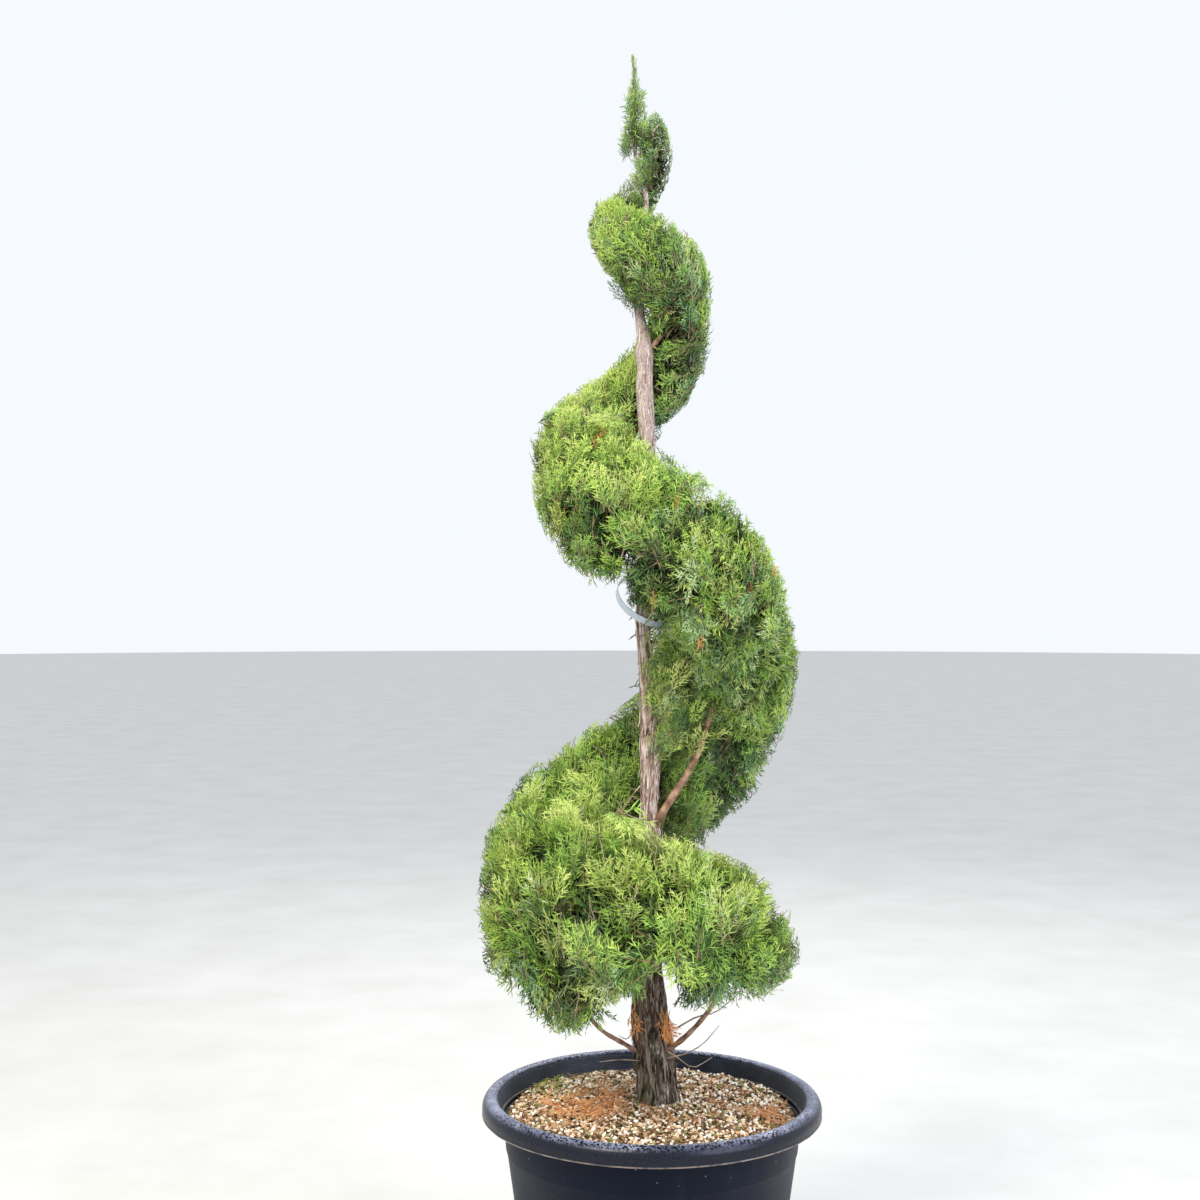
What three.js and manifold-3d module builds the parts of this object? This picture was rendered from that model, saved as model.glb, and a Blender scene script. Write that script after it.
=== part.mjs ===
// A spiral juniper topiary in its nursery container, in millimetres, +Z up.
// The container stands on Z = 0 with its axis on the origin, and -Y is the front.
// One clipped ribbon of foliage climbs a single leaning trunk, in three left-handed turns, from a low
// end at the front to a thin leader. Each quarter turn of the ribbon is one mass on its own stem.
import * as THREE from "three";
import { mergeVertices } from "three/addons/utils/BufferGeometryUtils.js";
import Module from "manifold-3d";

const wasm = await Module();
wasm.setup();

// Driving dimensions
const CLEARANCE = 0.3; // between two pieces that touch
const POT = {
  height: 445,
  rimRadius: 300,
  rimDepth: 34,
  rimInnerRadius: 271,
  neckRadius: 262, // outside, under the rim
  footRadius: 214,
  footHeight: 34,
  bandHeight: 352, // the faint step round the outside
  ledgeHeight: 405, // the step inside, under the rim
  wall: 4,
  floor: 6,
  drainHoles: 6,
  drainWidth: 24,
  drainHeight: 26,
  sides: 40,
};
const SOIL = { edge: 402, crown: 430, flatRadius: 54, lump: 5, sides: 32, rings: 5 };

// The trunk from the soil to its tip: [height, x, y, radius]
const TRUNK = [
  [430.3, 12, 0, 37],
  [470, 8, 0, 34.5],
  [522, 3, 0, 34],
  [590, -5, 1, 31],
  [700, -8, 2, 24],
  [885, -8, 2, 19.5],
  [950, -5, 1, 16],
  [1066, -1, 0, 18.5],
  [1120, -3, 0, 17.5],
  [1162, -7, -1, 14],
  [1205, -11, -2, 12],
  [1240, -14, -2, 11],
  [1284, -15, -2, 13],
  [1340, -13, -2, 12.5],
  [1480, -9, 0, 14.5],
  [1600, -8, 1, 15],
  [1700, -13, 2, 15.5],
  [1728, -12, 2, 14],
  [1758, -14, 2, 14.5],
  [1788, -15, 2, 12],
  [1825, -21, 1, 9],
  [1930, -17, 0, 8],
  [2027, -10, 0, 5],
  [2068, -18, 0, 4],
  [2104, -29, 0, 3.4],
];
const TRUNK_SIDES = 10;
const TRUNK_RINGS = 32;
const FLUTE = 0.09; // depth of the ridges at the foot, as a share of the radius

// The limbs that show between the masses. The path runs from inside the trunk to where the limb
// enters the mass that it carries.
const BOUGHS = {
  low_left: {
    carries: "turn1_left",
    path: [[-8, -4, 508], [-48, -26, 538], [-90, -50, 570], [-126, -68, 617]],
    radii: [4.6, 3],
  },
  low_right: {
    carries: "turn1_front",
    path: [[10, -8, 515], [46, -28, 541], [84, -48, 584], [122, -67, 642]],
    radii: [5.4, 3.4],
  },
  mid_right: {
    carries: "turn1_right",
    path: [[-6, 0, 900], [26, -8, 953], [62, -12, 1010], [90, -14, 1072], [106, -12, 1128]],
    radii: [7.2, 4.6],
  },
  mid_back: {
    carries: "turn1_back",
    path: [[-6, 6, 880], [20, 34, 924], [34, 82, 980]],
    radii: [7, 4.5],
  },
  top_right: {
    carries: "turn2_right",
    path: [[-12, 2, 1752], [14, 10, 1783], [42, 20, 1812]],
    radii: [5.4, 3.4],
  },
};

// The clipped outline of the ribbon: [turns climbed, x of its axis, radius, underside, top]
const RIBBON = [
  [-0.24, -8, 256, 674, 780],
  [-0.2, -8, 276, 632, 834],
  [-0.13, -8, 282, 622, 892],
  [0, -8, 298, 640, 936],
  [0.1, -8, 310, 588, 962],
  [0.25, -8, 316, 628, 992],
  [0.5, -7, 298, 780, 1150],
  [0.56, -7, 296, 802, 1212],
  [0.64, -8, 292, 905, 1302],
  [0.75, -9, 268, 1060, 1418],
  [1, -10, 238, 1270, 1592],
  [1.12, -9, 228, 1330, 1642],
  [1.25, -8, 213, 1448, 1676],
  [1.36, -9, 194, 1540, 1706],
  [1.5, -11, 167, 1592, 1815],
  [1.62, -14, 150, 1622, 1880],
  [1.75, -17, 130, 1692, 1950],
  [2, -20, 114, 1822, 2005],
  [2.25, -17, 95, 1872, 2038],
  [2.5, -14, 72, 1972, 2084],
  [2.75, -24, 61, 2044, 2170],
  [3, -31, 26, 2110, 2204],
];
// The section from the trunk outwards, [share of the radius, share of the depth], for the low turn,
// which droops at its rim, and for the upper turns, which rise from the trunk like a wine glass.
const DROOPING = [
  [0.1, 0.4], [0.36, 0.12], [0.72, 0], [0.94, 0.14], [1, 0.42],
  [0.95, 0.72], [0.78, 0.94], [0.52, 1], [0.24, 0.95], [0.08, 0.7],
];
const RISING = [
  [0.04, 0], [0.38, 0.06], [0.7, 0.2], [0.93, 0.4], [1, 0.6],
  [0.95, 0.8], [0.78, 0.95], [0.52, 1], [0.24, 0.97], [0.02, 0.6],
];
const DROOP_ENDS = 0.7; // turns climbed where the droop begins to fade
const RISE_BEGINS = 1.8; // and where it is gone
const QUARTERS = ["front", "left", "back", "right"];
const FIRST_TURN = RIBBON[0][0];
const LAST_TURN = 2.875; // where the ribbon gives way to the leader
const CORE_RINGS = 5;

// Sprays of foliage
const SPRAY = {
  spacing: 72, // on the outline of a mass as wide as the lowest turn
  smallest: 30,
  width: 0.4, // as a share of the length
  thickness: 0.14,
  sweep: 1, // how far each leans upwards
  sunk: 0.45, // share of the way from the core's face to its middle
  ragged: 9, // how unevenly the tips were clipped
};
const LEADER = {
  top: 2288,
  lean: -5.5,
  sway: 3,
  radius: 3.4,
  sprays: 34,
  reach: 50,
  flare: 0.5,
  turnBack: 2.1, // the angle from one spray to the next
};
const TAG = {
  radius: 72,
  tilt: 39.6, // degrees that the loop's axis leans from the vertical
  turn: -65.4, // degrees from +X that it leans towards
  width: 13.5,
  thickness: 1.2,
  sides: 36,
  centre: [8.4, 40.4, 1317.7],
};

// Finishes
const finish = (color, roughness) => new THREE.MeshStandardMaterial({ color, roughness, metalness: 0 });
const FINISHES = {
  plastic: finish(0x1f2126, 0.45),
  soil: finish(0x7a5a3c, 1),
  bark: finish(0x8a7464, 0.9),
  foliage: finish(0x6f9a3c, 0.7),
  tag: finish(0xe9edf0, 0.4),
};

const group = new THREE.Group();
group.name = "spiral_topiary";

// Adds one named piece, from a geometry or a joined solid.
function addPiece(name, shape, material) {
  const geometry = shape.isBufferGeometry ? shape : geometryOf(shape);
  const piece = new THREE.Mesh(geometry, material);
  piece.name = name;
  group.add(piece);
}

// A closed geometry as a solid that can be joined and cut.
function solidOf(geometry) {
  const bare = new THREE.BufferGeometry();
  bare.setAttribute("position", geometry.getAttribute("position"));
  bare.setIndex(geometry.getIndex());
  const merged = mergeVertices(bare, 1e-3);
  const vertProperties = new Float32Array(merged.getAttribute("position").array);
  const triVerts = new Uint32Array(merged.getIndex().array);
  return new wasm.Manifold(new wasm.Mesh({ numProp: 3, vertProperties, triVerts }));
}

function geometryOf(solid) {
  const mesh = solid.getMesh();
  const geometry = new THREE.BufferGeometry();
  geometry.setAttribute("position", new THREE.BufferAttribute(mesh.vertProperties, 3));
  geometry.setIndex(new THREE.BufferAttribute(mesh.triVerts, 1));
  return geometry;
}

// The largest body of a solid: loose scraps are dropped and sealed hollows are filled.
function wholeBody(solid) {
  return solid.decompose().reduce((best, body) => (body.volume() > best.volume() ? body : best));
}

// A repeatable random number from 0 to 1, by the mulberry rule.
function seeded(seed) {
  let state = seed;
  return () => {
    state = (state + 0x6d2b79f5) | 0;
    let t = Math.imul(state ^ (state >>> 15), 1 | state);
    t = (t + Math.imul(t ^ (t >>> 7), 61 | t)) ^ t;
    return ((t ^ (t >>> 14)) >>> 0) / 4294967296;
  };
}

const mix = THREE.MathUtils.lerp;
const smooth = THREE.MathUtils.smoothstep;

// A row of a table at a place between its rows, on a smooth curve through them.
function rowAt(table, place) {
  const last = table.length - 1;
  let i = 0;
  while (i < last - 1 && place > table[i + 1][0]) i += 1;
  const rows = [table[Math.max(i - 1, 0)], table[i], table[i + 1], table[Math.min(i + 2, last)]];
  const t = THREE.MathUtils.clamp((place - rows[1][0]) / (rows[2][0] - rows[1][0]), 0, 1);
  const span = rows[2][0] - rows[1][0];
  return rows[1].map((value, column) => {
    const slopeIn = (rows[2][column] - rows[0][column]) / (rows[2][0] - rows[0][0]);
    const slopeOut = (rows[3][column] - rows[1][column]) / (rows[3][0] - rows[1][0]);
    const a = 2 * t ** 3 - 3 * t ** 2 + 1;
    const b = t ** 3 - 2 * t ** 2 + t;
    const c = t ** 3 - t ** 2;
    return a * value + b * span * slopeIn + (1 - a) * rows[2][column] + c * span * slopeOut;
  });
}

// Moves each point of a capped cylinder of radius 1 to place(angle, share along, share of the radius).
function bentCylinder(sides, rings, place) {
  const geometry = new THREE.CylinderGeometry(1, 1, 1, sides, rings);
  const points = geometry.getAttribute("position");
  for (let i = 0; i < points.count; i += 1) {
    const x = points.getX(i);
    const z = points.getZ(i);
    const p = place(Math.atan2(x, z), points.getY(i) + 0.5, Math.min(1, Math.hypot(x, z)));
    points.setXYZ(i, p.x, p.y, p.z);
  }
  return geometry;
}

function makePot() {
  const { height, rimRadius, rimDepth, rimInnerRadius, wall, floor } = POT;
  const rimFoot = height - rimDepth;
  const rimMiddle = (rimRadius + rimInnerRadius) / 2;
  const profile = [
    [0, 0],
    [POT.footRadius - 7, 0],
    [POT.footRadius - 1, 5],
    [POT.footRadius, POT.footHeight - 3],
    [POT.footRadius + 2.5, POT.footHeight],
    [POT.neckRadius - 6.5, POT.bandHeight - 2],
    [POT.neckRadius - 4.5, POT.bandHeight + 2],
    [POT.neckRadius, rimFoot],
    [rimRadius - 3, rimFoot],
    [rimRadius, rimFoot + 3],
    [rimRadius - 1, rimFoot + 15],
    [rimRadius - 6, height - 7],
    [rimMiddle + 2, height],
    [rimMiddle - 6, height - 1],
    [rimInnerRadius, height - 9],
    [POT.neckRadius + 4, POT.ledgeHeight],
    [POT.neckRadius - wall - 0.5, POT.ledgeHeight - 2],
    [POT.footRadius - wall, floor],
    [0, floor],
  ].map(([r, z]) => new THREE.Vector2(r, z));
  const shell = new THREE.LatheGeometry(profile, POT.sides);
  shell.rotateX(Math.PI / 2);
  let pot = solidOf(shell);
  for (let i = 0; i < POT.drainHoles; i += 1) {
    const hole = new THREE.BoxGeometry(POT.drainWidth, 24, POT.drainHeight);
    hole.translate(0, -POT.footRadius, floor + POT.drainHeight / 2 + 2);
    hole.rotateZ((i * 2 * Math.PI) / POT.drainHoles);
    pot = pot.subtract(solidOf(hole));
  }
  addPiece("pot", pot, FINISHES.plastic);
}

// The potting mix fills the container to just under the ledge and rises a little to the trunk.
function makeSoil() {
  const random = seeded(7);
  const wallGap = POT.wall + CLEARANCE;
  const bottom = POT.floor + CLEARANCE;
  const slope = (POT.neckRadius - 0.5 - POT.footRadius) / (POT.ledgeHeight - 2 - POT.floor);
  const radiusAt = (z) => POT.footRadius - wallGap - 1 + (z - POT.floor) * slope;
  const profile = [
    [0, bottom],
    [radiusAt(bottom), bottom],
    [radiusAt(SOIL.edge), SOIL.edge],
  ];
  for (let i = 1; i <= SOIL.rings; i += 1) {
    const share = i / SOIL.rings;
    const radius = mix(radiusAt(SOIL.edge), SOIL.flatRadius, share);
    profile.push([radius, mix(SOIL.edge, SOIL.crown, Math.sqrt(share))]);
  }
  profile.push([0, SOIL.crown]);
  const outline = profile.map(([r, z]) => new THREE.Vector2(r, z));
  const soil = new THREE.LatheGeometry(outline, SOIL.sides);
  soil.rotateX(Math.PI / 2);
  const merged = mergeVertices(soil.deleteAttribute("normal").deleteAttribute("uv"), 1e-3);
  const points = merged.getAttribute("position");
  for (let i = 0; i < points.count; i += 1) {
    const radius = Math.hypot(points.getX(i), points.getY(i));
    const onTop = points.getZ(i) > SOIL.edge + 1 && radius > SOIL.flatRadius + 1;
    if (onTop) points.setZ(i, points.getZ(i) + (random() * 2 - 1) * SOIL.lump);
  }
  addPiece("potting_mix", solidOf(merged), FINISHES.soil);
}

// The trunk, with level rings so that its foot is cut flat. extra makes it fatter all over.
function trunkSolid(extra) {
  const foot = TRUNK[0][0];
  const tip = TRUNK[TRUNK.length - 1][0];
  const trunk = bentCylinder(TRUNK_SIDES, TRUNK_RINGS, (angle, share, fill) => {
    const [, x, y, radius] = rowAt(TRUNK, mix(foot, tip, share));
    const ridge = Math.cos(3 * angle + 0.6) + 0.6 * Math.cos(5 * angle + 2);
    const fluted = 1 + ridge * FLUTE * mix(1, 0.25, smooth(share, 0.02, 0.3));
    const reach = fill * (radius * fluted + extra);
    const height = mix(foot - extra, tip + extra, share);
    return new THREE.Vector3(x + reach * Math.cos(angle), y + reach * Math.sin(angle), height);
  });
  return solidOf(trunk);
}

// A limb that tapers along a path of points, closed at both ends.
function limbSolid(path, radii, sides, rings) {
  const curve = new THREE.CatmullRomCurve3(path.map((p) => new THREE.Vector3(...p)));
  const frames = curve.computeFrenetFrames(rings);
  const limb = bentCylinder(sides, rings, (angle, share, fill) => {
    const ring = Math.round(share * rings);
    const radius = fill * mix(radii[0], radii[1], share);
    const across = frames.normals[ring].clone().multiplyScalar(radius * Math.sin(angle));
    const over = frames.binormals[ring].clone().multiplyScalar(-radius * Math.cos(angle));
    return curve.getPointAt(share).add(across).add(over);
  });
  return solidOf(limb);
}

const boughSolid = (bough, extra) =>
  limbSolid(bough.path, bough.radii.map((r) => r + extra), 7, 3 * bough.path.length);

// The ribbon's outline at a place: turn is how far up it is, and round goes once round the section.
function ribbonPoint(turn, round, shrink) {
  const [, , radius, underside, top] = rowAt(RIBBON, turn);
  const rise = smooth(turn, DROOP_ENDS, RISE_BEGINS);
  const count = DROOPING.length;
  const corner = Math.floor(round * count) % count;
  const t = round * count - Math.floor(round * count);
  const sectionAt = (k) => [0, 1].map((side) => mix(DROOPING[k][side], RISING[k][side], rise));
  const here = sectionAt(corner);
  const next = sectionAt((corner + 1) % count);
  const middle = [radius * 0.56, mix(underside, top, 0.56)];
  const r = radius * mix(here[0], next[0], t) - middle[0];
  const z = mix(underside, top, mix(here[1], next[1], t)) - middle[1];
  const scale = Math.max(0.3, 1 - shrink / Math.hypot(r, z));
  return ribbonPlace(turn, middle[0] + r * scale, middle[1] + z * scale);
}

// The turns run left-handed from the front, so the angle falls as the ribbon climbs.
function ribbonPlace(turn, radius, height) {
  const angle = -Math.PI / 2 - turn * 2 * Math.PI;
  const axis = rowAt(RIBBON, turn)[1];
  return new THREE.Vector3(axis + radius * Math.cos(angle), radius * Math.sin(angle), height);
}

function ribbonMiddle(turn) {
  const [, , radius, underside, top] = rowAt(RIBBON, turn);
  return ribbonPlace(turn, radius * 0.56, mix(underside, top, 0.56));
}

// How far the sprays stand out of the core, which is less on the small upper turns.
const fringeAt = (turn) => 5 + 0.1 * rowAt(RIBBON, turn)[2];

// A direction square to the ribbon's cut faces, pointing up the climb.
function climbDirection(turn) {
  const angle = -Math.PI / 2 - turn * 2 * Math.PI;
  return new THREE.Vector3(Math.sin(angle), -Math.cos(angle), 0);
}

// The smaller core of one mass. Its two ends are flat and keep half the clearance to the cut.
function coreSolid(from, to) {
  const sides = DROOPING.length;
  const core = bentCylinder(sides, CORE_RINGS, (angle, share, fill) => {
    const turn = mix(from, to, share);
    const round = (angle / (2 * Math.PI) + 2) % 1;
    const onRim = ribbonPoint(turn, Math.round(round * sides) / sides, fringeAt(turn));
    const point = ribbonMiddle(turn).lerp(onRim, fill);
    const inset = share === 0 ? CLEARANCE : share === 1 ? -CLEARANCE : 0;
    return point.addScaledVector(climbDirection(turn), inset);
  });
  return solidOf(core);
}

// One spray: a flat pointed blade of eight faces, from a root inside the core to a clipped tip.
function blade(root, tip, faceOut, extra = 0) {
  const along = tip.clone().sub(root);
  const length = along.length() + extra;
  along.normalize();
  const across = along.clone().cross(faceOut).normalize();
  const through = across.clone().cross(along);
  const half = [SPRAY.width, SPRAY.thickness].map((share) => share * length * 0.5 + extra);
  const shape = new THREE.OctahedronGeometry(1, 0);
  const points = shape.getAttribute("position");
  for (let i = 0; i < points.count; i += 1) {
    const share = points.getY(i) === 0 ? 0.52 : (points.getY(i) + 1) / 2;
    const p = root
      .clone()
      .addScaledVector(along, share * length)
      .addScaledVector(across, points.getX(i) * half[0])
      .addScaledVector(through, points.getZ(i) * half[1]);
    points.setXYZ(i, p.x, p.y, p.z);
  }
  return mergeVertices(shape.deleteAttribute("normal").deleteAttribute("uv"), 1e-3);
}

// True if every point of a geometry lies between the two cut planes of a mass.
function keepsItsQuarter(geometry, from, to) {
  const points = geometry.getAttribute("position");
  const pastCut = (i, turn) => {
    const fromAxis = new THREE.Vector3(points.getX(i) - rowAt(RIBBON, turn)[1], points.getY(i), 0);
    return fromAxis.dot(climbDirection(turn));
  };
  for (let i = 0; i < points.count; i += 1) {
    const afterStart = from <= FIRST_TURN || pastCut(i, from) > 1;
    if (!afterStart || pastCut(i, to) > -1) return false;
  }
  return true;
}

// Rows of sprays round a core, even on all sides, each leaning upwards and ending on the outline.
function spraySolids(from, to, random, limbs) {
  const middleTurn = (from + to) / 2;
  const [, , radius, underside, top] = rowAt(RIBBON, middleTurn);
  const spacing = Math.max(SPRAY.smallest, SPRAY.spacing * Math.sqrt(radius / 300));
  const rows = Math.max(3, Math.round(((to - from) * 2 * Math.PI * radius * 0.8) / spacing));
  const round = Math.round((2 * radius * 0.8 + 1.6 * (top - underside)) / spacing);
  const made = [];
  for (let row = 0; row < rows; row += 1) {
    for (let column = 0; column < round; column += 1) {
      const turn = mix(from, to, (row + 0.5 + (random() - 0.5) * 0.8) / rows);
      const share = (column + (row % 2) * 0.5 + (random() - 0.5) * 0.6) / round;
      const place = mix(0.05, 0.86, share); // round the section, clear of the side that faces the trunk
      const fringe = fringeAt(turn);
      const face = ribbonPoint(turn, place, fringe);
      const clipped = ribbonPoint(turn, place, (random() - 0.35) * SPRAY.ragged);
      const outwards = clipped.clone().sub(face).normalize();
      const root = face.clone().lerp(ribbonMiddle(turn), SPRAY.sunk * (0.8 + random() * 0.4));
      const lean = fringe * SPRAY.sweep * Math.max(0, outwards.z + 0.7);
      root.z -= lean;
      const sideways = climbDirection(turn).multiplyScalar((random() - 0.5) * fringe * 0.8);
      const shape = blade(root, clipped.add(sideways), outwards);
      if (!keepsItsQuarter(shape, from, to)) continue;
      const solid = solidOf(shape);
      if (solid.intersect(limbs).isEmpty()) made.push(solid);
    }
  }
  return made;
}

// The stem that carries a mass, from the trunk or its bough's tip to the middle of its core.
function stemSolid(name, middleTurn) {
  const bough = Object.values(BOUGHS).find((limb) => limb.carries === name);
  const middle = ribbonMiddle(middleTurn);
  if (bough) {
    const path = bough.path.map((p) => new THREE.Vector3(...p));
    const tip = path[path.length - 1];
    const along = tip.clone().sub(path[path.length - 2]).normalize();
    const start = tip.clone().addScaledVector(along, CLEARANCE);
    const bend = start.clone().addScaledVector(along, 18);
    const route = [start, bend, middle].map((p) => p.toArray());
    return limbSolid(route, [bough.radii[1], bough.radii[1] * 0.6], 5, 4);
  }
  const [, , radius, underside] = rowAt(RIBBON, middleTurn);
  const foot = mix(underside, middle.z, 0.45);
  const [, x, y, thickness] = rowAt(TRUNK, foot);
  const route = [[x, y, foot], middle.clone().lerp(new THREE.Vector3(x, y, foot), 0.4).toArray(), middle.toArray()];
  const stemRadius = Math.min(thickness * 0.5, 3 + radius * 0.014);
  return limbSolid(route, [stemRadius, stemRadius * 0.6], 5, 4);
}

// Builds one mass and gives its solid.
function makeMass(name, from, to, seed, limbs) {
  const random = seeded(seed);
  const middleTurn = (from + to) / 2;
  const pieces = [coreSolid(from, to), stemSolid(name, middleTurn), ...spraySolids(from, to, random, limbs)];
  const mass = wholeBody(wasm.Manifold.union(pieces).subtract(limbs));
  addPiece("foliage_" + name, mass, FINISHES.foliage);
  return mass;
}

// The leader is a thin upright shoot above the trunk's tip, with short sprays round it.
const leaderAt = (share) => {
  const [height, x, y] = TRUNK[TRUNK.length - 1];
  const start = height + CLEARANCE;
  const sway = 4 * share * (1 - share) * LEADER.sway;
  return new THREE.Vector3(x + LEADER.lean * share + sway, y, mix(start, LEADER.top, share));
};

function leaderShoot(extra) {
  const route = [0, 0.25, 0.5, 0.75, 1].map((share) => leaderAt(share).toArray());
  return limbSolid(route, [LEADER.radius + extra, 0.8 + extra], 5, 6);
}

function makeLeader(limbs, lastMass) {
  const random = seeded(91);
  const pieces = [leaderShoot(0)];
  for (let i = 0; i < LEADER.sprays; i += 1) {
    const share = (i / LEADER.sprays) ** 1.25;
    const reach = LEADER.reach * mix(1, 0.3, share) * (0.8 + random() * 0.4);
    const angle = i * LEADER.turnBack;
    const out = new THREE.Vector3(Math.cos(angle), Math.sin(angle), 0);
    const root = leaderAt(0.03 + share * 0.88).addScaledVector(out, -0.8);
    const tip = root.clone().addScaledVector(out, reach * LEADER.flare);
    tip.z = Math.min(root.z + reach, LEADER.top - 2);
    const room = solidOf(blade(root, tip, out, CLEARANCE));
    if (room.intersect(lastMass).isEmpty()) pieces.push(solidOf(blade(root, tip, out)));
  }
  const leader = wholeBody(wasm.Manifold.union(pieces).subtract(limbs));
  addPiece("foliage_leader", leader, FINISHES.foliage);
}

// A blank plant tag: a plastic strip looped round the trunk and hanging on it.
function tagSolid(extra) {
  const { radius, width, thickness, sides } = TAG;
  const half = [thickness / 2 + extra, width / 2 + extra];
  const corners = [[-1, -1], [1, -1], [1, 1], [-1, 1], [-1, -1]];
  const profile = corners.map(([a, b]) => new THREE.Vector2(radius + a * half[0], b * half[1]));
  const loop = new THREE.LatheGeometry(profile, sides);
  loop.rotateX(Math.PI / 2);
  loop.rotateY(THREE.MathUtils.degToRad(TAG.tilt));
  loop.rotateZ(THREE.MathUtils.degToRad(TAG.turn));
  loop.translate(...TAG.centre);
  return solidOf(loop);
}

makePot();
makeSoil();

const trunk = trunkSolid(0);
const fatTrunk = trunkSolid(CLEARANCE);
addPiece("trunk", trunk, FINISHES.bark);

const fatLimbs = [fatTrunk];
for (const [name, bough] of Object.entries(BOUGHS)) {
  const limb = wholeBody(boughSolid(bough, 0).subtract(fatTrunk));
  addPiece("bough_" + name, limb, FINISHES.bark);
  fatLimbs.push(boughSolid(bough, CLEARANCE));
}

const tag = tagSolid(0);
addPiece("plant_tag", wholeBody(tag.subtract(fatTrunk)), FINISHES.tag);
fatLimbs.push(tagSolid(4));
const limbs = wasm.Manifold.union(fatLimbs);
const limbsAndShoot = limbs.add(leaderShoot(CLEARANCE));

let from = FIRST_TURN;
let lastMass = null;
for (let quarter = 0; from < LAST_TURN; quarter += 1) {
  const to = Math.min(quarter * 0.25 + 0.125, LAST_TURN);
  const name = "turn" + (Math.floor(quarter / 4) + 1) + "_" + QUARTERS[quarter % 4];
  lastMass = makeMass(name, from, to, 100 + quarter, limbsAndShoot);
  from = to;
}
makeLeader(limbs, lastMass);

export default group;
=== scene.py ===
import math

import bpy
import numpy as np
from mathutils import Matrix


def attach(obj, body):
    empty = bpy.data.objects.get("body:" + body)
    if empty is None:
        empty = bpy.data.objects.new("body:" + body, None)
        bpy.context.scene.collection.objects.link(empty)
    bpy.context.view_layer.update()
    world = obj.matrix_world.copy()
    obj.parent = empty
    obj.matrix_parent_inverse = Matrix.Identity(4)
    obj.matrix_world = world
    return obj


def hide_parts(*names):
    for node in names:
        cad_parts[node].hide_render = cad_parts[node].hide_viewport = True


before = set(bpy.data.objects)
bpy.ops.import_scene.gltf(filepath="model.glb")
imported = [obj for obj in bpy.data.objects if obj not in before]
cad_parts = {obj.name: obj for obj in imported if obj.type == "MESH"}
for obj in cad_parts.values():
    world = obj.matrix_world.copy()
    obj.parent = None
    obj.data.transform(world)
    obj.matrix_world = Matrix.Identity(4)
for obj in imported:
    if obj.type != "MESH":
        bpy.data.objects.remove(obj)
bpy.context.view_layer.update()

MM = 0.001
RIGHT = np.array([1.0, 0.0, 0.0])
BACK = np.array([0.0, 1.0, 0.0])
UP = np.array([0.0, 0.0, 1.0])

# The container, in millimetres
POT_HEIGHT = 445
RIM_RADIUS = 300
RIM_FOOT = 411
RIM_INSIDE = 271.5
NECK_RADIUS = 262
FOOT_RADIUS = 214
FOOT_HEIGHT = 34
BAND_HEIGHT = 352
LEDGE_HEIGHT = 405
WALL = 4
DRAIN_HOLES = 6

# The drain holes: the height of their middle, and how deep, wide and high they are, in millimetres
DRAIN_HEIGHT = 21
DRAIN_SIZE = [50, 24, 26]

# The ribs inside the rim: how many, radius and height of the topmost, and the steps to the next
COLLAR_RIBS = 9
COLLAR_RADIUS = 270.6
COLLAR_HEIGHT = 437
COLLAR_STEPS = [0.55, 3.4]
COLLAR_INSIDE = 262.5

# The mix, in millimetres: its radius, its height at the edge, the rise to its flat middle and its floor
MIX_RADIUS = 256.5
MIX_EDGE = 408
MIX_RISE = 22
MIX_MIDDLE = 50
MIX_SLOPE = 205
MIX_FLOOR = 7.5
MIX_FLOOR_SHARE = 0.812

# Grains on the mix: how many, tints, least and greatest size in metres, proportions, and how tilted
GRAINS = {
    "perlite": (2000, ["f4ecdd", "e6d6ba", "fbf7ee"], (0.0042, 0.0096), (0.75, 1, 0.8), 0.5),
    "bark_chips": (
        3300,
        ["d3b494", "b28e6c", "e4caa8", "dab18c", "947253"],
        (0.006, 0.016),
        (0.45, 1, 0.3),
        0.5,
    ),
    "crumbs": (3000, ["54402d", "775f45", "848950", "332820"], (0.004, 0.01), (0.8, 1, 0.6), 0.9),
}
GRAIN_SHAPES = 6
GRAIN_REACH = 0.252

# Drifts of dry clippings and moss on the mix: middle and reach in metres, how many, and tints
CLIPPINGS = {
    "clippings_left": (-0.11, -0.02, 0.085, 105, ["dda06a", "c4824f", "ebbd88"]),
    "clippings_right": (0.19, -0.05, 0.07, 34, ["d39a68", "b5774a", "e6b483"]),
    "clippings_strewn": (0.0, 0.0, 0.25, 90, ["cfa274", "a97347", "8f6240"]),
    "moss_sprigs": (-0.17, 0.13, 0.06, 16, ["7f8f45", "9aa65a", "6a7a3a"]),
}
CLIPPINGS_FARTHEST = 0.235
CLIPPINGS_CLOSEST = 0.045

# The trunk from the mix to its tip, in millimetres: height, x, y, radius
TRUNK = [
    [430.3, 12, 0, 37],
    [470, 8, 0, 34.5],
    [522, 3, 0, 34],
    [590, -5, 1, 31],
    [700, -8, 2, 24],
    [885, -8, 2, 19.5],
    [950, -5, 1, 16],
    [1066, -1, 0, 18.5],
    [1120, -3, 0, 17.5],
    [1162, -7, -1, 14],
    [1205, -11, -2, 12],
    [1240, -14, -2, 11],
    [1284, -15, -2, 13],
    [1340, -13, -2, 12.5],
    [1480, -9, 0, 14.5],
    [1600, -8, 1, 15],
    [1700, -13, 2, 15.5],
    [1728, -12, 2, 14],
    [1758, -14, 2, 14.5],
    [1788, -15, 2, 12],
    [1825, -21, 1, 9],
    [1930, -17, 0, 8],
    [2027, -10, 0, 5],
    [2068, -18, 0, 4],
    [2104, -29, 0, 3.4],
]
TRUNK_FOOT = TRUNK[0][0]
TRUNK_TOP = TRUNK[-1][0]
TRUNK_LENGTH = TRUNK_TOP - TRUNK_FOOT

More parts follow.
